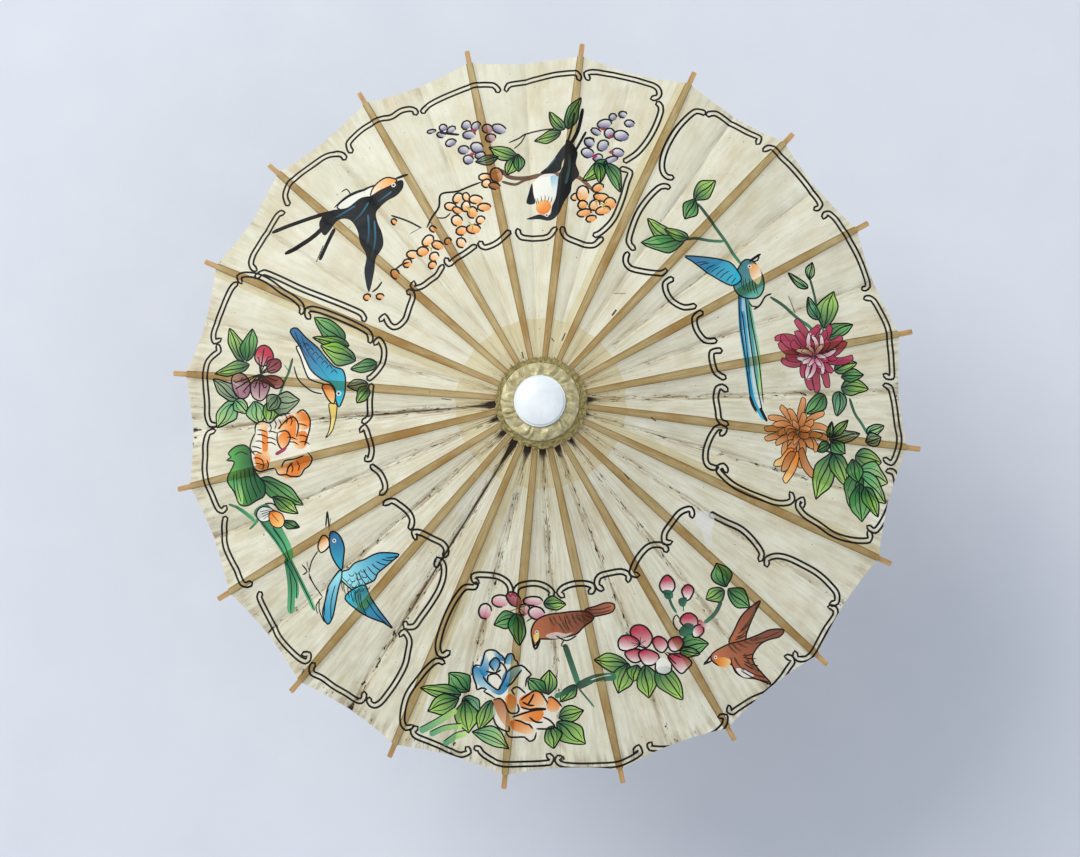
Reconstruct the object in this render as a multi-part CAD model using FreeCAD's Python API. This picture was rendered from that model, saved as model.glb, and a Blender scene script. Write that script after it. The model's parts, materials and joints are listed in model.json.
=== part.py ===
"""Oil paper umbrella: a wooden shaft and handle, twenty bamboo ribs and stretchers, and a paper canopy.

Millimetres and degrees, +Z up the shaft, with the origin on the shaft's axis at the middle of the grip.
The canopy is modelled open. Rib 1 stands at first_rib_azimuth and the others follow anticlockwise.
"""
import FreeCAD, Part
import math
import os

from FreeCAD import Vector

# The canopy and how it folds. A rib's angle is counted from straight down the shaft.
rib_count = 20
first_rib_azimuth = 12.0
tip_circle_diameter = 450.0
open_angle = 74.0
closed_angle = 8.0
pivot_radius = 12.0
stretcher_span = 90.0

# Ribs: split bamboo, widest under the paper, with a narrow bare tip.
rib_depth = 3.6
rib_neck_width = 3.0
rib_width = 5.8
rib_full_width_from = 80.0
rib_tip_width = 3.0
rib_tip_depth = 2.1
rib_tip_taper = 50.0
rib_tip_chamfer = 0.6
bare_tip_length = 9.5
rib_shoulder_length = 5.0

# Stretchers: thinner bamboo strips.
stretcher_depth = 3.0
stretcher_width = 3.2

# Tongues that swing in slots, the wires and the pins they swing on.
tongue_thickness = 1.8
tongue_side_clearance = 0.1
tongue_length = 7.0
tongue_shoulder = 1.5
tongue_end_margin = 0.2
ring_wire_radius = 0.45
wire_seat_clearance = 0.02
wire_running_clearance = 0.07
joint_pin_radius = 0.5
pin_running_clearance = 0.06
joint_slot_outward = 14.0
joint_slot_inward = 8.0
joint_tongue_length = 15.5

# Turned hubs: the fixed notch at the top and the sliding runner below it.
hub_radius = 14.5
slot_end_clearance = 0.4
slot_cover_clearance = 0.4
hub_plate = 0.9
hub_open_side = 4.0
notch_sleeve_radius = 8.0
notch_sleeve_length = 7.0
runner_sleeve_radius = 8.5
runner_sleeve_length = 30.0
runner_flare_radius = 10.0
runner_flare_length = 4.0
runner_clearance = 0.06

# Shaft, stop peg and catch.
shaft_radius = 5.0
shaft_above_pivots = 8.2
shaft_chamfer = 0.8
stop_peg_radius = 1.0
stop_peg_reach = 7.5
stop_peg_gap = 0.3
catch_wire_radius = 0.5
catch_reach = 8.0
catch_length = 22.0
catch_head_drop = 1.2
catch_root_radius = 1.6
catch_root_width = 1.3
catch_gap = 0.3
catch_azimuth = 21.0
catch_slot_clearance = 0.2
catch_slot_margin = 1.6
catch_press_angle = 8.0

# Handle.
grip_radius = 9.0
grip_length = 64.0
handle_foot_length = 12.0
handle_foot_radius = 6.0
handle_neck_length = 16.0
handle_neck_radius = 6.6
shaft_socket_depth = 62.0
closed_tip_gap = 8.0

# Paper canopy: glued on top of the ribs, in panels that meet on the even ribs.
paper_thickness = 0.3
glue_line = 0.1
panel_gap = 0.3
panel_inner_radius = 16.5
edge_hollow = 2.6

# Gathered collar over the top of the canopy.
collar_thickness = 0.8
collar_clearance = 0.3
collar_upper_radius = 22.0
collar_lower_radius = 26.0
collar_tier_step = 0.8

# Moulded cap.
cap_flange_radius = 14.6
cap_flange_height = 1.2
cap_dome_radius = 13.4
cap_dome_rise = 3.6
cap_shoulder_height = 1.4
cap_wall = 1.3
cap_clearance = 0.2

# Worked out from the sizes above.
rib_slope = 90.0 - open_angle
sin_open = math.sin(math.radians(open_angle))
cos_open = math.cos(math.radians(open_angle))
rib_length = (tip_circle_diameter / 2 - pivot_radius) / sin_open
paper_end = rib_length - bare_tip_length
slot_width = tongue_thickness + 2 * tongue_side_clearance
rib_tongue_round = rib_depth / 2 + tongue_end_margin
stretcher_tongue_round = stretcher_depth / 2 + tongue_end_margin
ring_hole_radius = ring_wire_radius + wire_running_clearance
edge_dip = rib_width / 2 * math.tan(math.pi / rib_count) * cos_open
handle_top = grip_length / 2 + handle_neck_length
closed_rib_drop = rib_length * math.cos(math.radians(closed_angle))
notch_height = handle_top + closed_tip_gap + closed_rib_drop
runner_height = notch_height - 2 * stretcher_span * cos_open
runner_foot = runner_height - hub_open_side - runner_sleeve_length
notch_top = notch_height + rib_tongue_round + slot_cover_clearance + hub_plate
cap_foot = notch_top + collar_clearance + collar_thickness + cap_clearance


def azimuth_of(number):
    """Angle of rib number (1 to rib_count) about the shaft, in degrees."""
    return first_rib_azimuth + (number - 1) * 360.0 / rib_count


def revolved(points):
    """Solid of revolution about Z of a closed outline given as (radius, height) points."""
    corners = [Vector(radius, 0, height) for radius, height in points]
    outline = Part.makePolygon(corners + corners[:1])
    return Part.Face(outline).revolve(Vector(0, 0, 0), Vector(0, 0, 1), 360)


def cross_cylinder(radius, length, along, height=0.0):
    """Cylinder lying along Y, centred on it, at X = along and Z = height."""
    start = Vector(along, -length / 2, height)
    return Part.makeCylinder(radius, length, start, Vector(0, 1, 0))


def strip(plan, side):
    """Straight bar along X: a symmetric plan of (x, half width) points cut by a side outline of (x, z)."""
    outline = plan + [(along, -half) for along, half in reversed(plan)]
    reach = max(half for _, half in plan)
    depth = max(abs(height) for _, height in side)
    plan_points = [Vector(along, across, -depth) for along, across in outline]
    plan_face = Part.Face(Part.makePolygon(plan_points + plan_points[:1]))
    side_points = [Vector(along, -reach, height) for along, height in side]
    side_face = Part.Face(Part.makePolygon(side_points + side_points[:1]))
    return plan_face.extrude(Vector(0, 0, 2 * depth)).common(side_face.extrude(Vector(0, 2 * reach, 0)))


def placed(shape, slope, height, azimuth):
    """Turn a bar's pivot onto the pivot circle at height, falling outward by slope, at the azimuth."""
    shape = shape.copy()
    shape.rotate(Vector(0, 0, 0), Vector(0, 1, 0), slope)
    shape.translate(Vector(pivot_radius, 0, height))
    shape.rotate(Vector(0, 0, 0), Vector(0, 0, 1), azimuth)
    return shape


def rib_bar():
    """One rib along X with its pivot at the origin and the paper side up, and its joint pin."""
    tongue = tongue_thickness / 2
    shoulder = tongue_length + tongue_shoulder
    tip_from = paper_end + rib_tip_chamfer
    plan = [(0, tongue), (tongue_length, tongue), (shoulder, rib_neck_width / 2),
            (rib_full_width_from, rib_width / 2), (paper_end - rib_shoulder_length, rib_width / 2),
            (tip_from, rib_tip_width / 2), (rib_length - rib_tip_chamfer, rib_tip_width / 2),
            (rib_length, rib_tip_width / 2 - rib_tip_chamfer)]
    top = rib_depth / 2
    tip_foot = top - rib_tip_depth
    side = [(0, top), (rib_length - rib_tip_chamfer, top), (rib_length, top - rib_tip_chamfer),
            (rib_length, tip_foot + rib_tip_chamfer), (rib_length - rib_tip_chamfer, tip_foot),
            (rib_length - rib_tip_taper, -top), (0, -top)]
    bar = strip(plan, side).fuse(cross_cylinder(rib_tongue_round, tongue_thickness, 0)).removeSplitter()
    bar = bar.cut(cross_cylinder(ring_hole_radius, slot_width, 0))
    slot_length = joint_slot_inward + joint_slot_outward
    slot_corner = Vector(stretcher_span - joint_slot_inward, -slot_width / 2, -rib_depth)
    bar = bar.cut(Part.makeBox(slot_length, slot_width, 2 * rib_depth, slot_corner))
    pin = cross_cylinder(joint_pin_radius, rib_width, stretcher_span)
    return Part.makeCompound([bar.cut(pin), pin])


def stretcher_bar():
    """One stretcher along X with its runner pivot at the origin and its rib pivot at stretcher_span."""
    tongue = tongue_thickness / 2
    half = stretcher_width / 2
    joint_tongue = stretcher_span - joint_tongue_length
    plan = [(0, tongue), (tongue_length, tongue), (tongue_length + tongue_shoulder, half),
            (joint_tongue - tongue_shoulder, half), (joint_tongue, tongue), (stretcher_span, tongue)]
    top = stretcher_depth / 2
    side = [(0, top), (stretcher_span, top), (stretcher_span, -top), (0, -top)]
    bar = strip(plan, side)
    for along in (0, stretcher_span):
        bar = bar.fuse(cross_cylinder(stretcher_tongue_round, tongue_thickness, along))
    bar = bar.removeSplitter()
    bar = bar.cut(cross_cylinder(ring_hole_radius, slot_width, 0))
    return bar.cut(cross_cylinder(joint_pin_radius + pin_running_clearance, slot_width, stretcher_span))


def hub_slots(slot_floor, height, low, high):
    """The radial slots of a hub, one for each rib, between two heights about its pivot plane."""
    slots = []
    for number in range(1, rib_count + 1):
        corner = Vector(slot_floor, -slot_width / 2, height + low)
        slot = Part.makeBox(hub_radius, slot_width, high - low, corner)
        slot.rotate(Vector(0, 0, 0), Vector(0, 0, 1), azimuth_of(number))
        slots.append(slot)
    return Part.makeCompound(slots)


def ring_wire(height, extra=0.0):
    """The wire ring that the tongues swing on, or with some extra radius the channel that holds it."""
    return Part.makeTorus(pivot_radius, ring_wire_radius + extra, Vector(0, 0, height))


def top_notch():
    """The fixed hub: a slotted disc, closed on top, on a sleeve glued to the shaft."""
    foot = notch_height - hub_open_side
    body = revolved([(shaft_radius, notch_top), (hub_radius, notch_top), (hub_radius, foot),
                     (notch_sleeve_radius, foot), (notch_sleeve_radius, foot - notch_sleeve_length),
                     (shaft_radius, foot - notch_sleeve_length)])
    slot_floor = pivot_radius - rib_tongue_round - slot_end_clearance
    ceiling = rib_tongue_round + slot_cover_clearance
    body = body.cut(hub_slots(slot_floor, notch_height, -2 * hub_open_side, ceiling))
    return body.cut(ring_wire(notch_height, wire_seat_clearance))


def runner():
    """The sliding hub: a slotted crown, closed below, on a long sleeve that the fingers push."""
    top = runner_height + hub_open_side
    floor = stretcher_tongue_round + slot_cover_clearance
    crown_foot = runner_height - floor - hub_plate
    bore = shaft_radius + runner_clearance
    flare_top = runner_foot + runner_flare_length
    body = revolved([(bore, top), (hub_radius, top), (hub_radius, crown_foot),
                     (runner_sleeve_radius, crown_foot), (runner_sleeve_radius, flare_top),
                     (runner_flare_radius, flare_top), (runner_flare_radius, runner_foot),
                     (bore, runner_foot)])
    slot_floor = pivot_radius - stretcher_tongue_round - slot_end_clearance
    body = body.cut(hub_slots(slot_floor, runner_height, -floor, 2 * hub_open_side))
    return body.cut(ring_wire(runner_height, wire_seat_clearance))


def stop_peg():
    """The peg across the shaft that the runner stops against when the canopy is open."""
    height = runner_height + hub_open_side + stop_peg_gap + stop_peg_radius
    peg = cross_cylinder(stop_peg_radius, 2 * stop_peg_reach, 0, height)
    peg.rotate(Vector(0, 0, 0), Vector(0, 0, 1), catch_azimuth)
    return peg


def catch_spring():
    """Bent wire catch: up and out from its root in the shaft to a head under the runner, then back in."""
    head = runner_foot - catch_gap - catch_wire_radius
    route = [Vector(catch_root_radius, 0, head - catch_length),
             Vector(catch_reach - catch_wire_radius, 0, head - catch_head_drop),
             Vector(catch_reach - catch_wire_radius, 0, head),
             Vector(catch_root_radius, 0, head)]
    wire = cross_cylinder(catch_wire_radius, catch_root_width, route[0].x, route[0].z)
    for start, end in zip(route, route[1:]):
        run = end - start
        wire = wire.fuse(Part.makeCylinder(catch_wire_radius, run.Length, start, run))
        wire = wire.fuse(Part.makeSphere(catch_wire_radius, end))
    wire.rotate(Vector(0, 0, 0), Vector(0, 0, 1), catch_azimuth)
    return wire


def catch_slot():
    """The slot in the shaft that the catch is pressed into."""
    half = catch_wire_radius + catch_slot_clearance
    top = runner_foot + catch_slot_margin
    foot = runner_foot - catch_length - catch_slot_margin
    travel = catch_length * math.tan(math.radians(catch_press_angle))
    inner = catch_root_radius - travel - 2 * catch_wire_radius
    slot = Part.makeBox(2 * shaft_radius, 2 * half, top - foot, Vector(inner, -half, foot))
    slot.rotate(Vector(0, 0, 0), Vector(0, 0, 1), catch_azimuth)
    return slot


def shaft():
    """The turned shaft, from its socket in the handle to the cap."""
    foot = handle_top - shaft_socket_depth
    top = notch_height + shaft_above_pivots
    body = revolved([(0, foot), (shaft_radius, foot), (shaft_radius, top - shaft_chamfer),
                     (shaft_radius - shaft_chamfer, top), (0, top)])
    return body.cut(catch_slot()).cut(stop_peg())


def handle():
    """The turned grip, with a socket for the shaft, a rounded foot and a long shoulder."""
    low = -grip_length / 2
    high = grip_length / 2
    foot = low - handle_foot_length
    rounding = Part.BezierCurve()
    rounding.setPoles([Vector(grip_radius, 0, low), Vector(grip_radius, 0, foot),
                       Vector(handle_foot_radius, 0, foot)])
    shoulder = Part.BezierCurve()
    middle = (high + handle_top) / 2
    shoulder.setPoles([Vector(handle_neck_radius, 0, handle_top), Vector(handle_neck_radius, 0, middle),
                       Vector(grip_radius, 0, middle), Vector(grip_radius, 0, high)])
    edges = [rounding.toShape(),
             Part.makeLine(Vector(handle_foot_radius, 0, foot), Vector(0, 0, foot)),
             Part.makeLine(Vector(0, 0, foot), Vector(0, 0, handle_top)),
             Part.makeLine(Vector(0, 0, handle_top), Vector(handle_neck_radius, 0, handle_top)),
             shoulder.toShape(),
             Part.makeLine(Vector(grip_radius, 0, high), Vector(grip_radius, 0, low))]
    outline = Part.Wire(Part.__sortEdges__(edges))
    body = Part.Face(outline).revolve(Vector(0, 0, 0), Vector(0, 0, 1), 360)
    socket = Part.makeCylinder(shaft_radius, shaft_socket_depth, Vector(0, 0, handle_top - shaft_socket_depth))
    return body.cut(socket)


def paper_point(azimuth, along):
    """Point on the underside of the paper over the rib line at azimuth, along mm from the rib's pivot."""
    lift = rib_depth / 2 + edge_dip + glue_line
    radius = pivot_radius + along * sin_open + lift * cos_open
    height = notch_height - along * cos_open + lift * sin_open
    turn = math.radians(azimuth)
    return Vector(radius * math.cos(turn), radius * math.sin(turn), height)


def paper_bay(first, second):
    """One flat bay of paper between two rib azimuths, with its outer edge hollowed towards the hub."""
    start = (panel_inner_radius - pivot_radius) / sin_open
    near_first, near_second = paper_point(first, start), paper_point(second, start)
    far_first, far_second = paper_point(first, paper_end), paper_point(second, paper_end)
    chord_middle = (far_first + far_second) * 0.5
    inward = ((near_first + near_second) * 0.5 - chord_middle).normalize()
    edge_middle = chord_middle + inward * edge_hollow
    outline = Part.Wire([Part.makeLine(near_first, far_first),
                         Part.Arc(far_first, edge_middle, far_second).toShape(),
                         Part.makeLine(far_second, near_second), Part.makeLine(near_second, near_first)])
    return Part.Face(outline).extrude(Vector(0, 0, paper_thickness))


def paper_panel(number):
    """The two bays beside rib number, stopped a little short of the panels next to them."""
    step = 360.0 / rib_count
    azimuth = azimuth_of(number)
    panel = paper_bay(azimuth - step, azimuth).fuse(paper_bay(azimuth, azimuth + step)).removeSplitter()
    for border in (azimuth - step, azimuth + step):
        gap = Part.makeBox(tip_circle_diameter, panel_gap, tip_circle_diameter,
                           Vector(0, -panel_gap / 2, notch_height - tip_circle_diameter / 2))
        gap.rotate(Vector(0, 0, 0), Vector(0, 0, 1), border)
        panel = panel.cut(gap)
    return panel


def gold_collar():
    """The gathered collar: flat over the notch, then down over the canopy in two tiers."""
    shoulder = hub_radius + collar_clearance
    low = notch_top + collar_clearance
    high = low + collar_thickness
    edge_along = (collar_lower_radius - pivot_radius) / sin_open
    edge_low = paper_point(0, edge_along).z + paper_thickness + 2 * collar_clearance
    edge_high = edge_low + collar_thickness
    share = (collar_upper_radius - shoulder) / (collar_lower_radius - shoulder)
    tier = high + (edge_high - high) * share
    return revolved([(shaft_radius, low), (shoulder, low), (collar_lower_radius, edge_low),
                     (collar_lower_radius, edge_high), (collar_upper_radius, tier),
                     (collar_upper_radius, tier + collar_tier_step), (shoulder, high), (shaft_radius, high)])


def tip_cap():
    """The moulded cap: a flanged dome on a sleeve that is pushed onto the shaft's end."""
    hollow_height = cap_flange_height + cap_shoulder_height
    height = hollow_height + cap_dome_rise
    foot = Vector(0, 0, cap_foot)
    curve_radius = (cap_dome_radius ** 2 + cap_dome_rise ** 2) / (2 * cap_dome_rise)
    dome = Part.makeSphere(curve_radius, Vector(0, 0, cap_foot + height - curve_radius))
    body = Part.makeCylinder(cap_dome_radius, height, foot).common(dome)
    body = body.fuse(Part.makeCylinder(cap_flange_radius, cap_flange_height, foot)).removeSplitter()
    hollow = Part.makeCylinder(cap_dome_radius - cap_wall, hollow_height, foot)
    sleeve = Part.makeCylinder(shaft_radius + cap_wall, hollow_height, foot)
    socket = Part.makeCylinder(shaft_radius, notch_height + shaft_above_pivots - cap_foot, foot)
    return body.cut(hollow.cut(sleeve)).cut(socket)


def export(shape, node):
    """Write one node's solids as STEP."""
    shape.exportStep("parts/" + node + ".step")


def main():
    """Build every node and write it."""
    os.makedirs("parts", exist_ok=True)
    export(shaft(), "shaft")
    export(handle(), "handle")
    export(top_notch(), "top_notch")
    export(ring_wire(notch_height), "notch_wire")
    export(runner(), "runner")
    export(ring_wire(runner_height), "runner_wire")
    export(stop_peg(), "stop_peg")
    export(catch_spring(), "catch_spring")
    export(gold_collar(), "gold_collar")
    export(tip_cap(), "tip_cap")
    rib, stretcher = rib_bar(), stretcher_bar()
    for number in range(1, rib_count + 1):
        azimuth = azimuth_of(number)
        export(placed(rib, rib_slope, notch_height, azimuth), "rib_%02d" % number)
        export(placed(stretcher, -rib_slope, runner_height, azimuth), "stretcher_%02d" % number)
        if number % 2:
            export(paper_panel(number), "paper_panel_%02d" % number)


main()
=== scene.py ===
"""Visual model of a small oil paper umbrella: painted paper canopy, gathered collar and finishes."""
import json
import logging
import math
import random
from dataclasses import dataclass, field
from enum import Enum
from typing import Any, Sequence

import bpy
import numpy as np
from mathutils import Matrix, Vector, noise
from mathutils.geometry import delaunay_2d_cdt


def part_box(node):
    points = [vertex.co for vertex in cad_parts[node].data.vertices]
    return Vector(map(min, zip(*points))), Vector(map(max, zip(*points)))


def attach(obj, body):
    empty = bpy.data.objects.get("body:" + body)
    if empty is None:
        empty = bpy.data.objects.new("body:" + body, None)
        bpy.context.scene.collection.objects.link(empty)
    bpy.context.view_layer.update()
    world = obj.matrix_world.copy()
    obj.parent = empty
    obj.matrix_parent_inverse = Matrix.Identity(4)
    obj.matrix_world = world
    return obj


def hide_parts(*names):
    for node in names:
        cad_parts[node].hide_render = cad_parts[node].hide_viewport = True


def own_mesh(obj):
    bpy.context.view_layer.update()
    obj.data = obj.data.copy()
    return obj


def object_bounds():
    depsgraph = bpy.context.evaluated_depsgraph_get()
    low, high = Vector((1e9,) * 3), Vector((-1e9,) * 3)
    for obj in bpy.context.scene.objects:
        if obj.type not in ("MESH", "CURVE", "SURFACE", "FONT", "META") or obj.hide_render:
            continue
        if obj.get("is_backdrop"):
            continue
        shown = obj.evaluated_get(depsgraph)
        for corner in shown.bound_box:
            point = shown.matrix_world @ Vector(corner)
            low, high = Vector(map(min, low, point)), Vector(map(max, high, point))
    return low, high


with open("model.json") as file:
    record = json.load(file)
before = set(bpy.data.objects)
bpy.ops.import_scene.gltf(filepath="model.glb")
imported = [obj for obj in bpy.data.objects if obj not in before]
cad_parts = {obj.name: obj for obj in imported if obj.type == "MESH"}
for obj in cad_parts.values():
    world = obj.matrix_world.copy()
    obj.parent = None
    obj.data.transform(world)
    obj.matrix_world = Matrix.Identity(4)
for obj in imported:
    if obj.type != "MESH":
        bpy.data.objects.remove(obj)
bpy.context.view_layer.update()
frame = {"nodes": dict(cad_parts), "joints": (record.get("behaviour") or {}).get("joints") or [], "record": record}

LOG = logging.getLogger("umbrella")
MM = 0.001
Point = tuple[float, float]
Path = str | Sequence[Point]


def linear(code: str) -> tuple[float, float, float]:
    """Turn an sRGB hex colour to linear.

    Args:
        code: Colour as "#rrggbb".

    Returns:
        Red, green and blue, linear, from 0 to 1.
    """
    parts = [int(code[i:i + 2], 16) / 255 for i in (1, 3, 5)]
    return tuple(c / 12.92 if c <= 0.04045 else ((c + 0.055) / 1.055) ** 2.4 for c in parts)


def rgba(code: str) -> tuple[float, float, float, float]:
    """The linear colour of a hex code with full alpha, as a colour socket takes it."""
    return (*linear(code), 1.0)


def add_node(tree: bpy.types.NodeTree, kind: str, inputs: dict | None = None,
             **settings: Any) -> bpy.types.Node:
    """Add one shader node.

    Args:
        tree: Node tree that takes it.
        kind: Blender's name of the node type.
        inputs: Values or output sockets, by the input's name or number.
        **settings: Properties of the node itself.

    Returns:
        The new node.
    """
    made = tree.nodes.new(kind)
    for key, value in settings.items():
        setattr(made, key, value)
    for key, value in (inputs or {}).items():
        if isinstance(value, bpy.types.NodeSocket):
            tree.links.new(value, made.inputs[key])
        else:
            made.inputs[key].default_value = value
    return made


@dataclass(frozen=True)
class Finish:
    """A material: what it is, how its surface was made, and how it takes light."""

    name: str
    tint: str
    shade: str
    roughness: float
    grain_mm: float
    bump_mm: float
    ior: float = 1.5
    metallic: float = 0.0
    coat: float = 0.0

    def pattern(self, tree: bpy.types.NodeTree) -> bpy.types.NodeSocket:
        """The grain, from 0 to 1: an even mottle unless a finish overrides it."""
        place = add_node(tree, "ShaderNodeTexCoord").outputs["Object"]
        return add_node(tree, "ShaderNodeTexNoise", {
            "Vector": place, "Scale": 1 / (self.grain_mm * MM), "Detail": 5.0,
            "Roughness": 0.6}).outputs["Fac"]

    def colour(self, tree: bpy.types.NodeTree, grain: bpy.types.NodeSocket) -> bpy.types.NodeSocket:
        """The surface's colour, from the shade to the tint along the grain."""
        spread = add_node(tree, "ShaderNodeMapRange", {
            "Value": grain, "From Min": 0.3, "From Max": 0.7}).outputs[0]
        return add_node(tree, "ShaderNodeMix", {0: spread, 6: rgba(self.shade), 7: rgba(self.tint)},
                        data_type="RGBA").outputs[2]

    def build(self) -> bpy.types.Material:
        """Make the material.

        Returns:
            The material, with its colour, roughness and relief from the grain.
        """
        made = bpy.data.materials.new(self.name)
        made.use_nodes = True
        tree = made.node_tree
        tree.nodes.clear()
        grain = self.pattern(tree)
        rough = add_node(tree, "ShaderNodeMapRange", {
            "Value": grain, "To Min": min(1.0, self.roughness * 1.2),
            "To Max": self.roughness * 0.8}).outputs[0]
        relief = add_node(tree, "ShaderNodeBump", {
            "Height": grain, "Distance": self.bump_mm * MM, "Strength": 1.0}).outputs[0]
        shader = add_node(tree, "ShaderNodeBsdfPrincipled", {
            "Base Color": self.colour(tree, grain), "Roughness": rough, "Normal": relief,
            "Metallic": self.metallic, "IOR": self.ior, "Coat Weight": self.coat, "Coat Roughness": 0.08})
        add_node(tree, "ShaderNodeOutputMaterial", {"Surface": self.surface(tree, shader, relief)})
        return made

    def surface(self, tree: bpy.types.NodeTree, shader: bpy.types.Node,
                relief: bpy.types.NodeSocket) -> bpy.types.NodeSocket:
        """The shader that reaches the output."""
        return shader.outputs[0]


@dataclass(frozen=True)
class SplitBamboo(Finish):
    """Bamboo split and planed: straight fibres along each stick, which all lie towards the shaft's axis."""

    fibre_length_mm: float = 22.0
    middle_radius_mm: float = 110.0

    def pattern(self, tree: bpy.types.NodeTree) -> bpy.types.NodeSocket:
        """Fibres that run outward from the axis: fine across a stick and long along it."""
        place = add_node(tree, "ShaderNodeTexCoord").outputs["Object"]
        parts = add_node(tree, "ShaderNodeSeparateXYZ", {0: place})
        turn = add_node(tree, "ShaderNodeMath", {0: parts.outputs[1], 1: parts.outputs[0]},
                        operation="ARCTAN2").outputs[0]
        across = add_node(tree, "ShaderNodeMath", {0: turn, 1: self.middle_radius_mm / self.grain_mm},
                          operation="MULTIPLY").outputs[0]
        reach = add_node(tree, "ShaderNodeVectorMath", {0: place}, operation="LENGTH").outputs["Value"]
        along = add_node(tree, "ShaderNodeMath", {0: reach, 1: 1 / (self.fibre_length_mm * MM)},
                         operation="MULTIPLY").outputs[0]
        deep = add_node(tree, "ShaderNodeMath", {0: parts.outputs[2], 1: 0.3 / (self.grain_mm * MM)},
                        operation="MULTIPLY").outputs[0]
        spot = add_node(tree, "ShaderNodeCombineXYZ", {0: across, 1: along, 2: deep}).outputs[0]
        return add_node(tree, "ShaderNodeTexNoise", {
            "Vector": spot, "Scale": 1.0, "Detail": 4.0, "Roughness": 0.55}).outputs["Fac"]


@dataclass(frozen=True)
class TurnedWood(Finish):
    """Wood turned on a lathe: its grain runs up the axis."""

    grain_length_mm: float = 40.0

    def pattern(self, tree: bpy.types.NodeTree) -> bpy.types.NodeSocket:
        """Long vertical grain, slightly wandering."""
        place = add_node(tree, "ShaderNodeTexCoord").outputs["Object"]
        fine = 1 / (self.grain_mm * MM)
        spot = add_node(tree, "ShaderNodeMapping", {
            "Vector": place, "Scale": (fine, fine, 1 / (self.grain_length_mm * MM))}).outputs[0]
        return add_node(tree, "ShaderNodeTexNoise", {
            "Vector": spot, "Scale": 1.0, "Detail": 5.0, "Roughness": 0.6, "Distortion": 0.4}).outputs["Fac"]


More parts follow.
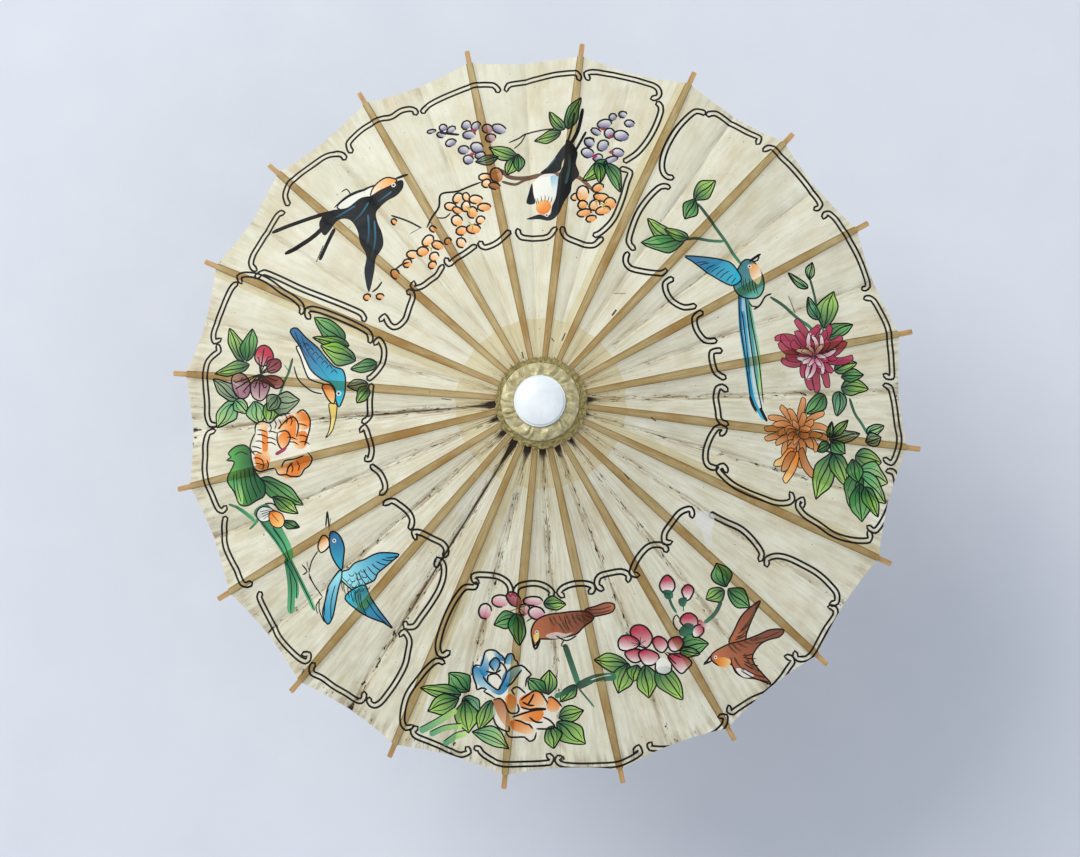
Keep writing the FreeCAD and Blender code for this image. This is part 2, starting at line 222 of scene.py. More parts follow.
@dataclass(frozen=True)
class OiledPaper(Finish):
    """Mulberry paper, oiled and hand painted: warm, faintly clear, grimy along its folds, with painted shade along
    the rib edges and deep in the folds near the hub.
    """

    span_mm: float = 450.0
    rib_tint: str = "#cdba8b"
    rib_shade: str = "#a68e58"
    # Painted shade: the dark brown laid along each rib's edges where it shows through the paper.
    rib_edge_shade: str = "#6d5124"
    rib_warm: str = "#a07c42"
    double_tint: str = "#f4edd8"
    stain_tint: str = "#cbb68b"
    dirt_tint: str = "#86693f"
    # Near-black for soot dashes and specks, and for the painted shade deep in the folds near the hub.
    soot_and_shade_tint: str = "#2a1c0c"
    clearness: float = 0.16
    speck_mm: float = 1.5

    def pattern(self, tree: bpy.types.NodeTree) -> bpy.types.NodeSocket:
        """Cloudy fibres of the paper."""
        place = add_node(tree, "ShaderNodeUVMap", uv_map="plan").outputs[0]
        return add_node(tree, "ShaderNodeTexNoise", {
            "Vector": place, "Scale": self.span_mm / self.grain_mm, "Detail": 8.0, "Roughness": 0.62,
            "Distortion": 0.6}).outputs["Fac"]

    def speckle(self, tree: bpy.types.NodeTree, around: float, along: float, low: float,
                high: float) -> bpy.types.NodeSocket:
        """Marks stretched along the ribs, from 0 to 1.

        Args:
            tree: Node tree that takes the nodes.
            around: Size of a mark round the canopy, in mm at half its radius.
            along: Size of a mark along the ribs, in mm.
            low: Noise value where marks start.
            high: Noise value where they are full.

        Returns:
            The marks.
        """
        polar = add_node(tree, "ShaderNodeUVMap", uv_map="polar").outputs[0]
        turns, rows = math.pi * self.span_mm / 2 / around, self.span_mm / 2 / along
        place = add_node(tree, "ShaderNodeMapping", {"Vector": polar, "Scale": (turns, rows, 1.0)}).outputs[0]
        fine = add_node(tree, "ShaderNodeTexNoise", {
            "Vector": place, "Scale": 1.0, "Detail": 6.0, "Roughness": 0.65}).outputs["Fac"]
        return add_node(tree, "ShaderNodeMapRange", {
            "Value": fine, "From Min": low, "From Max": high}, interpolation_type="SMOOTHSTEP").outputs[0]

    def blend(self, tree: bpy.types.NodeTree, share: bpy.types.NodeSocket | float, under: Any, over: Any,
              kind: str = "MIX") -> bpy.types.NodeSocket:
        """One colour over another by a share."""
        return add_node(tree, "ShaderNodeMix", {0: share, 6: under, 7: over}, data_type="RGBA",
                        blend_type=kind).outputs[2]

    def backing(self, tree: bpy.types.NodeTree,
                rib: bpy.types.NodeSocket) -> tuple[bpy.types.NodeSocket, ...]:
        """The rib as it shows through: whether there is one, and its colour, with painted shade darkening it along
        its edges.
        """
        there = add_node(tree, "ShaderNodeMapRange", {
            "Value": rib, "From Min": 0.25, "From Max": 0.45}).outputs[0]
        # Painted shade: the rib's colour turns dark brown towards its edges.
        edge = add_node(tree, "ShaderNodeMapRange", {
            "Value": rib, "From Min": 0.5, "From Max": 0.85, "To Min": 0.75, "To Max": 0.0}).outputs[0]
        strands = self.speckle(tree, 1.7, 25.0, 0.32, 0.68)
        fibre = self.blend(tree, strands, rgba(self.rib_shade), rgba(self.rib_tint))
        warm = self.speckle(tree, 30.0, 60.0, 0.42, 0.66)
        bamboo = self.blend(tree, warm, fibre, rgba(self.rib_warm))
        return there, self.blend(tree, edge, bamboo, rgba(self.rib_edge_shade))

    def colour(self, tree: bpy.types.NodeTree, grain: bpy.types.NodeSocket) -> bpy.types.NodeSocket:
        """Paper, then what shows through it from the ribs with painted shade on their edges, then grime and
        painted shade in the folds near the hub, then the paint over all.
        """
        plan = add_node(tree, "ShaderNodeUVMap", uv_map="plan").outputs[0]
        ground = add_node(tree, "ShaderNodeSeparateColor", {
            0: add_node(tree, "ShaderNodeVertexColor", layer_name="ground").outputs[0]})
        paint = add_node(tree, "ShaderNodeVertexColor", layer_name="paint")
        cover = add_node(tree, "ShaderNodeSeparateColor", {
            0: add_node(tree, "ShaderNodeVertexColor", layer_name="cover").outputs[0]}).outputs[0]
        there, rib = self.backing(tree, ground.outputs[0])
        base = self.blend(tree, ground.outputs[1], super().colour(tree, grain), rgba(self.double_tint),
                          "MULTIPLY")
        cloud = add_node(tree, "ShaderNodeMath", {
            0: self.speckle(tree, 9.0, 45.0, 0.45, 0.72), 1: 0.45}, operation="MULTIPLY").outputs[0]
        stained = self.blend(tree, cloud, base, rgba(self.stain_tint))
        backed = self.blend(tree, there, stained, rib)
        smear = add_node(tree, "ShaderNodeMath", {
            0: self.speckle(tree, 1.7, 25.0, 0.4, 0.62), 1: ground.outputs[2]},
            operation="MULTIPLY").outputs[0]
        dash = add_node(tree, "ShaderNodeMath", {
            0: self.speckle(tree, 1.5, 6.0, 0.5, 0.64), 1: ground.outputs[2]},
            operation="MULTIPLY").outputs[0]
        speck_noise = add_node(tree, "ShaderNodeTexNoise", {
            "Vector": plan, "Scale": self.span_mm / self.speck_mm, "Detail": 2.0}).outputs["Fac"]
        specks = add_node(tree, "ShaderNodeMapRange", {
            "Value": speck_noise, "From Min": 0.72, "From Max": 0.76}).outputs[0]
        soiled_and_shaded = self.blend(tree, smear, backed, rgba(self.dirt_tint))
        sooty = add_node(tree, "ShaderNodeMapRange", {
            "Value": dash, "From Min": 0.3, "From Max": 0.62}, interpolation_type="SMOOTHSTEP").outputs[0]
        # Painted shade: where the blue channel nears 1, deep in the folds near the hub, the paper goes almost
        # black.
        painted_valley_shade = add_node(tree, "ShaderNodeMapRange", {
            "Value": ground.outputs[2], "From Min": 0.82, "From Max": 1.0},
            interpolation_type="SMOOTHSTEP").outputs[0]
        darkest = add_node(tree, "ShaderNodeMath", {0: sooty, 1: specks}, operation="MAXIMUM").outputs[0]
        dark = add_node(tree, "ShaderNodeMath", {
            0: darkest, 1: painted_valley_shade},
            operation="MAXIMUM").outputs[0]
        # Soot dashes and specks, and the painted valley shade, all in one near-black brown.
        dirty_and_shaded = self.blend(tree, dark, soiled_and_shaded, rgba(self.soot_and_shade_tint))
        behind = self.blend(tree, there, rgba("#ffffff"), rgba("#d3c6a0"))
        wet = self.blend(tree, 1.0, paint.outputs[0], behind, "MULTIPLY")
        thin = add_node(tree, "ShaderNodeMapRange", {
            "Value": grain, "From Min": 0.25, "From Max": 0.6, "To Min": 0.95, "To Max": 1.0}).outputs[0]
        share = add_node(tree, "ShaderNodeMath", {0: cover, 1: thin}, operation="MULTIPLY").outputs[0]
        return self.blend(tree, share, dirty_and_shaded, wet)

    def surface(self, tree: bpy.types.NodeTree, shader: bpy.types.Node,
                relief: bpy.types.NodeSocket) -> bpy.types.NodeSocket:
        """A little of the light goes through the oiled sheet."""
        through = add_node(tree, "ShaderNodeBsdfTranslucent", {
            "Color": shader.inputs["Base Color"].links[0].from_socket, "Normal": relief}).outputs[0]
        return add_node(tree, "ShaderNodeMixShader", {
            0: self.clearness, 1: shader.outputs[0], 2: through}).outputs[0]


# Oiled mulberry paper: pale olive cream with cloudy fibres, a dull sheen from the oil.
OILED_PAPER = OiledPaper("oiled_mulberry_paper", "#e9e7d3", "#d6d2b6", 0.6, 26.0, 0.3, ior=1.3)
# Split bamboo, planed and unvarnished: straw brown with darker straight fibres, dull.
BAMBOO = SplitBamboo("split_bamboo_planed", "#c79f68", "#99743f", 0.55, 0.9, 0.06)
# Birch, turned and varnished: light warm wood under a thin clear coat.
VARNISHED_WOOD = TurnedWood("turned_birch_varnished", "#c79a63", "#a4743f", 0.35, 2.2, 0.03, coat=0.4)
# Turned wood under red-brown lacquer: deep, almost even colour with sharp highlights.
LACQUERED_WOOD = TurnedWood("turned_wood_lacquered", "#6e2415", "#4a150c", 0.22, 3.0, 0.02, coat=0.8)
# Plain turned hardwood for the hubs: matt, slightly dirty.
HUB_WOOD = TurnedWood("turned_hardwood_plain", "#b48a58", "#8c6638", 0.6, 1.6, 0.05)
# Gold-washed crepe paper: olive gold, creased, with a weak metallic glint on its ridges.
GOLD_PAPER = Finish("gold_washed_crepe_paper", "#d3caa2", "#9a8e5c", 0.42, 3.5, 0.45, metallic=0.12)
# The same paper below the lip: darker olive and duller, as painted shade under the upper tier, with some soiling.
SHADED_SOILED_GOLD = Finish("gold_washed_crepe_shaded_soiled", "#a3955c", "#6f602f", 0.5, 2.6, 0.35, metallic=0.1)
# Moulded polystyrene cap: bright white, smooth and glossy with faint scuffs.
CAP_PLASTIC = Finish("moulded_white_polystyrene", "#eef3f3", "#dde5e7", 0.2, 9.0, 0.01, ior=1.59, coat=0.25)
# Drawn steel wire: grey, fine lengthwise scratches, slightly dull.
STEEL_WIRE = Finish("drawn_steel_wire", "#b5b0a8", "#7f7a72", 0.35, 0.8, 0.01, metallic=1.0)


class Tone(Enum):
    """The painter's colours: where a wash starts, where it ends, and how well it covers."""

    INK = ("#07080a", "#07080a", 1.0)
    PATCH = ("#e4e5e8", "#dddcd4", 0.55)
    SOOT = ("#2a1c0c", "#3b2a14", 0.95)
    LEAF = ("#005a3c", "#aeea44", 0.95)
    DARK_LEAF = ("#0a5a30", "#5fc052", 0.97)
    PALE_LEAF = ("#4aa06a", "#b9e07a", 0.9)
    OLIVE_LEAF = ("#4d6a4e", "#93b183", 0.9)
    TEAL_LEAF = ("#0c6a48", "#4fb878", 0.93)
    CRIMSON = ("#b5103f", "#f6ece4", 0.96)
    DEEP_CRIMSON = ("#7d1233", "#b8395c", 0.95)
    PINK = ("#c3557d", "#f5ebe2", 0.92)
    MAUVE = ("#8e4b6b", "#c9a0a6", 0.85)
    ORANGE = ("#e67a00", "#fbd183", 0.94)
    PALE_ORANGE = ("#f29c28", "#fcf0d4", 0.92)
    AMBER = ("#a85f24", "#e29a58", 0.93)
    PURPLE = ("#261c70", "#eeecf2", 0.95)
    BLUE = ("#006898", "#0ab2cc", 0.95)
    SKY = ("#0094ba", "#96dee6", 0.94)
    BLUE_WATER = ("#007aaa", "#a8dfe4", 0.95)
    PALE_PAPER = ("#f3efe2", "#efe9d8", 0.5)
    PALE_BLUE = ("#7fbcd3", "#dfe9e4", 0.85)
    TEAL = ("#156f7c", "#5cb8a0", 0.93)
    SWALLOW = ("#05080c", "#101b26", 1.0)
    STEEL = ("#2f6f86", "#16242f", 0.9)
    WHITE = ("#f4f2e8", "#e6e6da", 0.85)
    RUST = ("#7c3318", "#b9653a", 0.95)
    BRANCH = ("#4f3423", "#7a543a", 0.95)
    STEM = ("#123f30", "#2f7a58", 0.96)
    YELLOW = ("#e8c95a", "#f1dd92", 0.9)


@dataclass(frozen=True)
class Wash:
    """One painted shape: an outline with its colour running from start to end."""

    outline: np.ndarray
    tone: Tone
    start: Point
    end: Point
    fade: float = 1.0

    def laid(self, points: np.ndarray) -> tuple[np.ndarray, np.ndarray]:
        """Linear colours and strength of the wash at these places, from full pigment to ever more water."""
        way = np.subtract(self.end, self.start)
        share = np.clip((points - self.start) @ way / max(way @ way, 1e-9), 0, 1)[:, None] ** 1.5
        first, last = np.array(linear(self.tone.value[0])), np.array(linear(self.tone.value[1]))
        return first * (1 - share) + last * share, self.tone.value[2] * (1 - share * (1 - self.fade))


def route(points: Path) -> Sequence[Point]:
    """The points of a path written as "x,y x,y"; any other sequence of points is given back."""
    if not isinstance(points, str):
        return points
    return [tuple(map(float, pair.split(","))) for pair in points.split()]


def smooth(points: Path, closed: bool = False, step: float = 2.2) -> np.ndarray:
    """A smooth curve through points.

    Args:
        points: Places that the curve passes through, in mm.
        closed: Whether it comes back to its first point.
        step: Spacing of the returned points, in mm.

    Returns:
        Points along the curve, one row each.
    """
    spots = np.asarray(route(points), float)
    count = len(spots)
    if count < 3:
        return spots
    found = []
    for i in range(count if closed else count - 1):
        a, b, c, d = (spots[(i + k) % count] if closed else spots[min(max(i + k, 0), count - 1)]
                      for k in (-1, 0, 1, 2))
        pieces = max(1, math.ceil(float(np.hypot(*(c - b))) / step))
        t = (np.arange(pieces) / pieces)[:, None]
        found.append(0.5 * (2 * b + (c - a) * t + (2 * a - 5 * b + 4 * c - d) * t ** 2
                            + (3 * b - a - 3 * c + d) * t ** 3))
    if not closed:
        found.append(spots[-1:])
    return np.concatenate(found)


def sides(line: np.ndarray, width: np.ndarray | float) -> tuple[np.ndarray, np.ndarray]:
    """The two edges of a band of this width that follows a line."""
    along = np.gradient(line, axis=0)
    along /= np.maximum(np.hypot(along[:, 0], along[:, 1]), 1e-9)[:, None]
    out = np.stack([-along[:, 1], along[:, 0]], 1) * (np.broadcast_to(width, len(line))[:, None] / 2)
    return line + out, line - out


def inside(points: np.ndarray, outline: np.ndarray) -> np.ndarray:
    """Which points an outline winds around."""
    winding = np.zeros(len(points), int)
    x, y = points[:, 0], points[:, 1]
    for (x0, y0), (x1, y1) in zip(outline, np.roll(outline, -1, 0)):
        if y0 == y1:
            continue
        crossing = (y0 <= y) != (y1 <= y)
        left = (x1 - x0) * (y - y0) - (x - x0) * (y1 - y0)
        winding += np.where(crossing & (left > 0) & (y1 > y0), 1, 0)
        winding -= np.where(crossing & (left < 0) & (y1 < y0), 1, 0)
    return winding != 0


@dataclass
class Brush:
    """Collects the painted shapes in the order they are laid on, in plan mm from the shaft's axis."""

    line_width: float = 1.3
    washes: list[Wash] = field(default_factory=list)

    def fill(self, points: Path, tone: Tone, start: Point | None = None,
             end: Point | None = None, fade: float = 1.0) -> None:
        """A smooth closed wash; its colour runs from start to end, or from its first to its middle point."""
        spots = route(points)
        self.washes.append(Wash(smooth(spots, True), tone, start or tuple(spots[0]),
                                end or tuple(spots[len(spots) // 2]), fade))

    def wet(self, tone: Tone, *shapes: tuple[Point, Point, Path]) -> None:
        """Washes that thin out to bare paper: each with its start, its end and its outline, left undrawn."""
        for start, end, points in shapes:
            self.fill(points, tone, start, end, 0.6)

    def lines(self, width: float, *paths: Path) -> None:
        """Several open brush lines of one width."""
        for path in paths:
            self.ink(path, width)

    def cups(self, tone: Tone, *spots: tuple[float, float, float, float]) -> None:
        """Small cupped petals, each by its middle, width and height, dark at the foot and pale at the rim."""
        for x, y, wide, high in spots:
            lean = 0.25 * math.sin(3.1 * x + 1.7 * y)
            ring = []
            for k in range(9):
                turn = 2 * math.pi * k / 9
                swell = 1 + 0.14 * math.sin(2 * turn + x + y)
                ring.append((x + wide / 2 * swell * math.cos(turn) + lean * high * math.sin(turn) / 2,
                             y + high / 2 * swell * math.sin(turn)))
            self.fill(ring, tone, (x + lean * wide, y - high * 0.55), (x - lean * wide, y + high * 0.5), 0.7)
            self.ink(ring[:8], 1.15, taper=0.6)

    def ink(self, points: Path, width: float | None = None, closed: bool = False,
            tone: Tone = Tone.INK, taper: float = 0.35) -> None:
        """A brush line through points, thinner at its ends unless it is closed."""
        line = smooth(points, closed)
        if closed:
            line = np.concatenate([line, line[:2]])
            swell = np.ones(len(line))
        else:
            press = 3 * np.sin(np.linspace(0.05, math.pi - 0.05, len(line)))
            swell = taper + (1 - taper) * np.minimum(1, press)
        left, right = sides(line, swell * (width or self.line_width))
        self.washes.append(Wash(np.concatenate([left, right[::-1]]), tone, tuple(line[0]), tuple(line[-1])))

    def shape(self, points: Path, tone: Tone, start: Point | None = None, end: Point | None = None,
              width: float = 0.95) -> None:
        """A wash with its outline."""
        self.fill(points, tone, start, end)
        self.ink(points, width, True)

    def scroll(self, points: Path, width: float = 2.9) -> None:
        """One length of the border: a hollow ribbon with round ends that curl in."""
        line = smooth(points, step=1.6)
        left, right = sides(line, width)
        nose, tail = 2 * line[0] - line[1], 2 * line[-1] - line[-2]
        loop = [*left[::2], tuple(tail), *right[::-2], tuple(nose)]
        self.ink([tuple(p) for p in loop], closed=True)

    def leaf(self, base: Point, tip: Point, width: float, tone: Tone = Tone.LEAF, bend: float = 0.0) -> None:
        """A pointed leaf with its midrib and three pairs of veins.

        Args:
            base: Where it leaves the stem.
            tip: Its point.
            width: Its greatest width.
            tone: Its wash, dark at the base.
            bend: How far it bows to the left of its line, as a share of its length.
        """
        a, b = np.array(base, float), np.array(tip, float)
        along = b - a
        across = np.array([-along[1], along[0]])
        across_unit = across / np.hypot(*across)

        def at(share: float, side: float) -> Point:
            """A place on the leaf, by its share of the length and of half the width."""
            middle = a + along * share + across * bend * math.sin(math.pi * share)
            return tuple(middle + across_unit * side * width / 2)

        wave = [0.16 * math.sin(2.3 * a[0] + 1.9 * k + b[1]) for k in range(8)]
        outline = [at(0, 0), at(0.14, 0.6 + wave[0]), at(0.38, 1 + wave[1]), at(0.64, 0.86 + wave[2]),
                   at(0.86, 0.36), at(1, 0), at(0.88, -0.34), at(0.66, -0.82 + wave[3]),
                   at(0.36, -1 + wave[4]), at(0.12, -0.55 + wave[5])]
        self.fill(outline, tone, base, tip, 0.8)
        self.ink(outline[:6], 1.0, taper=0.5)
        self.ink([*outline[5:], outline[0]], 0.9, taper=0.5)
        self.ink([at(0, 0), at(0.3, wave[6]), at(0.62, wave[7]), at(0.97, 0)], 0.85)
        for side in (-1, 1):
            self.ink([at(0.1, 0.1 * side), at(0.32, 0.46 * side), at(0.6, 0.5 * side),
                      at(0.84, 0.16 * side)], 0.45)

    def leaves(self, bend: float, *rows: tuple[Path, float, Tone]) -> None:
        """Leaves of one bend, each by the path from its base to its tip, its width and its tone."""
        for path, width, tone in rows:
            self.leaf(*route(path), width, tone, bend)

    def petal(self, centre: Point, long: float, wide: float, tone: Tone, heart: Point,
              lines: int = 2) -> None:
        """A petal, its colour running from the flower's heart to its rim.

        Args:
            centre: Middle of the petal.
            long: Its size along the line from the heart.
            wide: Its size across that line.
            tone: Its wash.
            heart: Middle of the flower.
            lines: Number of fine lines on it.
        """
        c = np.array(centre, float)
        out = c - heart
        out = out / max(float(np.hypot(*out)), 1e-6)
        across = np.array([-out[1], out[0]])
        ring = []
        for k in range(12):
            turn = 2 * math.pi * k / 12
            narrow = 1 - 0.3 * max(0.0, -math.cos(turn))
            ring.append(tuple(c + out * long / 2 * math.cos(turn)
                              + across * wide / 2 * math.sin(turn) * narrow))
        self.shape(ring, tone, tuple(c - out * long / 2), tuple(c + out * long / 2), 0.75)
        for k in range(lines):
            lean = (k + 1) / (lines + 1) - 0.5
            self.ink([tuple(c - out * long * 0.4 + across * wide * lean * 0.4),
                      tuple(c + across * wide * lean * 0.7),
                      tuple(c + out * long * 0.22 + across * wide * lean * 0.9)], 0.4)

    def chrysanthemum(self, heart: Point, radius: float, tone: Tone, seed: int,
                      rings: Sequence[tuple[float, int]] = ((1.0, 13), (0.72, 11), (0.42, 8))) -> None:
        """A many-petalled flower of narrow curling petals, laid from the outer ring inward."""
        chance = random.Random(seed)
        for reach, count in rings:
            for k in range(count):
                angle = 2 * math.pi * (k + chance.uniform(-0.25, 0.25)) / count
                size = radius * reach * chance.uniform(0.82, 1.12)
                curl = chance.uniform(-0.5, 0.5)
                line = [(heart[0] + size * s * math.cos(angle + curl * s * s),
                         heart[1] + size * s * math.sin(angle + curl * s * s))
                        for s in (0.12, 0.45, 0.75, 1.0)]
                curve = smooth(line)
                swell = 0.1 * radius * (0.6 + 1.5 * np.sin(np.linspace(0.3, 2.75, len(curve))))
                left, right = sides(curve, swell)
                loop = [*left, *right[::-1]]
                self.washes.append(Wash(np.array(loop), tone, line[0], line[-1]))
                self.ink([tuple(p) for p in loop[::2]], 0.5, True)
        for k in range(7):
            angle = k * 2.4
            self.ink([(heart[0] + 0.05 * k * math.cos(angle), heart[1] + 0.05 * k * math.sin(angle)),
                      (heart[0] + 0.16 * radius * math.cos(angle),
                       heart[1] + 0.16 * radius * math.sin(angle))], 0.5)

    def feathers(self, root: Path, ends: Path, width: float = 0.55, tone: Tone = Tone.INK) -> None:
        """Fine lines that fan from points on one curve to points on another."""
        first, last = smooth(root, step=0.8), smooth(ends, step=0.8)
        count = max(3, len(route(ends)) * 2)
        for k in range(count):
            share = k / (count - 1)
            a = first[int(share * (len(first) - 1))]
            b = last[int(share * (len(last) - 1))]
            middle = (a + b) / 2 + (b - a)[::-1] * (0.06, -0.06)
            self.ink([tuple(a), tuple(middle), tuple(b)], width, tone=tone)

    def eye(self, spot: Point, size: float = 1.5) -> None:
        """A bird's eye: a pale ring with a dark middle."""
        for reach, tone in ((size, Tone.WHITE), (size * 0.5, Tone.INK)):
            self.fill([(spot[0] + reach * math.cos(a), spot[1] + reach * math.sin(a))
                       for a in np.linspace(0, 5.2, 6)], tone)


@dataclass
class Artwork:
    """The four cartouches printed on the quarter sheets: scrolled borders, flowers and birds."""

    brush: Brush = field(default_factory=Brush)

    def paint(self) -> list[Wash]:
        """Lay on every cartouche.

        Returns:
            All washes, in the order they were laid on.
        """
        for part in (self.borders, self.upper_branch, self.upper_swallows, self.right_spray,
                     self.right_bird, self.lower_flowers, self.lower_birds, self.left_flowers,
                     self.left_birds, self.blemishes):
            part()
        return self.brush.washes

    def blemishes(self) -> None:
        """A pale patch over a tear in the border, and soot marks around the hub."""
        b = self.brush
        b.fill("90,-63 94,-61 99,-63 100,-68 98,-73 99,-80 96,-84 94,-78 92,-72 89,-68", Tone.PATCH)
        for line, width in (("-10.5,29 -9.5,25", 1.7), ("12.4,35.5 14.2,40", 1.6), ("6.4,37 7.8,35", 1.3),
                ("47.5,-40 50.5,-43.5", 1.5), ("41,51 43.5,54.5", 2.4), ("42,64.5 49,64.5", 0.8),
                ("-57,3 -51,2", 1.0), ("63,-8 66,-10", 1.6)):
            b.ink(line, width, tone=Tone.SOOT)

    def borders(self) -> None:
        """Scrolled frames, one ribbon at a time, anticlockwise from the top of each cartouche."""
        upper = [
            "66,188 70,190 68,196 57,200 44,203 32,205 26,204 27,201",
            "22,200 20,204 10,204 0,202 -12,199 -21,197 -22,194",
            "-27,193 -30,197 -40,197 -47,195 -60,190 -70,185 -73,181",
            "-77,180 -79,183 -86,182 -92,178 -98,177 -104,174 -112,169 -118,162 -116,157",
            "-120,153 -123,156 -131,155 -140,149 -148,143 -154,137 -156,130 -154,125",
            "-157,120 -160,119 -166,110 -170,103 -175,94 -176,88 -173,85",
            "-172,80 -168,83 -158,79 -144,72 -130,66 -116,60 -106,55 -104,51",
            "-94,51 -92,53 -89,48 -85,46 -80,50 -77,58 -75,65 -78,67",
            "-75,72 -75,69 -70,70 -66,73 -61,77 -58,82",
            "-56,86 -54,83 -50,86 -44,90 -39,94",
            "-36,96 -34,93 -29,94 -24,97 -19,102",
            "-14,103 -12,99 -3,98 4,99 8,104",
            "12,104 14,99 20,96 26,94 31,94 35,98",
            "31,100 35,102 42,110 47,122 50,133 52,140 47,142",
            "49,147 52,149 57,153 63,161 68,171 71,181 69,185"]
        right = [
            "97,179 92,180 86,175 79,166 73,154 71,144 73,138 77,137",
            "75,131 70,131 63,124 57,115 53,105 51,96 54,92",
            "50,89 49,84 52,80 60,78 70,77 72,79",
            "76,74 72,71 73,65 77,60 83,57 89,58",
            "93,54 89,51 90,44 95,38 101,38",
            "104,32 99,31 99,25 101,19 106,16",
            "107,9 103,11 101,5 102,-3 103,-9 107,-11",
            "104,-17 106,-14 102,-13 98,-18 95,-26 95,-33 98,-36 101,-36",
            "107,-38 105,-35 102,-37 105,-41 111,-46 119,-50 127,-53 136,-56 143,-56 146,-54 145,-51",
            "152,-58 152,-54 149,-57 153,-63 161,-68 170,-74 179,-77 188,-78 193,-77 192,-73",
            "192,-70 196,-72 201,-66 205,-58 209,-49 209,-41 207,-37 204,-37",
            "202,-30 206,-32 209,-27 211,-18 210,-11 209,-2 208,6 206,13 203,14",
            "203,20 207,19 207,30 206,40 205,49 201,58 196,66 192,66",
            "191,72 194,74 192,82 188,92 182,103 175,114 170,118 168,115",
            "163,120 166,123 160,133 152,143 143,152 137,158 133,156",
            "129,161 130,164 122,168 112,174 104,179 99,178"]
        lower = [
            "-55,-143 -59,-145 -61,-140 -59,-131 -56,-123 -52,-115 -48,-109 -44,-105 -39,-105 -38,-103",
            "-37,-102 -40,-100 -38,-98 -31,-98 -25,-99 -20,-102 -18,-106 -18,-109",
            "-15,-109 -14,-105 -8,-103 -2,-103 3,-105 6,-108 5,-110",
            "12,-110 10,-108 13,-105 19,-103 26,-103 30,-105 28,-108",
            "35,-106 32,-104 33,-99 39,-97 46,-96 50,-98 50,-101",
            "55,-98 52,-97 54,-91 58,-85 63,-81 70,-81 72,-84",
            "74,-79 71,-79 71,-74 75,-68 80,-62 86,-60 87,-64",
            "98,-63 106,-67 115,-71 121,-76 126,-82 128,-86 127,-89",
            "131,-92 131,-89 136,-87 143,-88 152,-92 161,-97 168,-103 173,-109 173,-114 170,-115",
            "169,-117 172,-118 172,-122 167,-129 163,-136 159,-143 155,-147 149,-147 148,-144",
            "143,-146 147,-148 144,-153 140,-159 132,-167 123,-171 115,-176 110,-179 109,-176",
            "104,-181 107,-181 106,-186 101,-191 94,-194 85,-198 75,-200 66,-200 62,-199 63,-197",
            "54,-201 56,-199 57,-202 51,-206 43,-209 31,-210 18,-210 10,-209 8,-206 10,-205",
            "3,-204 5,-206 4,-208 -8,-209 -24,-209 -30,-207 -36,-203 -38,-200 -40,-200",
            "-45,-200 -44,-202 -49,-204 -55,-202 -61,-199 -68,-196 -75,-193 -77,-190 -75,-188",
            "-78,-187 -81,-188 -83,-184 -82,-175 -79,-167 -73,-159 -68,-153 -62,-148 -58,-149"]
        left = [
            "-182,78 -183,81 -179,82 -172,81 -164,77 -156,71 -148,66 -143,61 -143,57",
            "-138,54 -140,57 -138,59 -132,58 -124,55 -115,51 -107,47 -101,43 -100,38",
            "-97,37 -95,39 -92,34 -92,28 -94,23 -98,18 -101,16",
            "-99,12 -100,3 -100,-4 -101,-7 -104,-9",
            "-105,-14 -103,-12 -101,-17 -99,-23 -99,-28 -101,-32 -102,-30",
            "-99,-35 -94,-39 -91,-45 -91,-49 -93,-51",
            "-91,-57 -87,-55 -83,-57 -78,-61 -75,-66 -76,-71",
            "-73,-76 -74,-73 -69,-74 -63,-77 -57,-80 -55,-84 -56,-87",
            "-61,-92 -60,-89 -57,-92 -57,-99 -60,-107 -65,-115 -71,-123 -75,-128 -80,-128 -80,-126",
            "-83,-133 -81,-131 -78,-136 -79,-143 -81,-151 -86,-160 -91,-167 -96,-173 -100,-175 -103,-173 "
             "-103,-171",
            "-106,-168 -107,-172 -111,-172 -117,-168 -124,-164 -131,-159 -137,-156 -137,-152 -136,-151",
            "-142,-145 -139,-145 -140,-149 -144,-148 -149,-144 -154,-139 -158,-134 -161,-128 -164,-122 "
             "-167,-116 -169,-111 -168,-109",
            "-174,-103 -178,-104 -181,-100 -183,-95 -186,-90 -189,-84 -191,-77 -191,-69 -190,-64",
            "-190,-58 -192,-60 -195,-58 -198,-51 -201,-44 -203,-36 -203,-28 -203,-20 -201,-13 -198,-12",
            "-197,-8 -200,-8 -202,-3 -202,5 -203,15 -203,24 -202,30 -198,34 -195,36 -196,39",
            "-195,43 -198,42 -199,47 -197,54 -194,61 -191,68 -188,74 -185,77"]
        for ribbon in upper + right + lower + left:
            self.brush.scroll(ribbon)

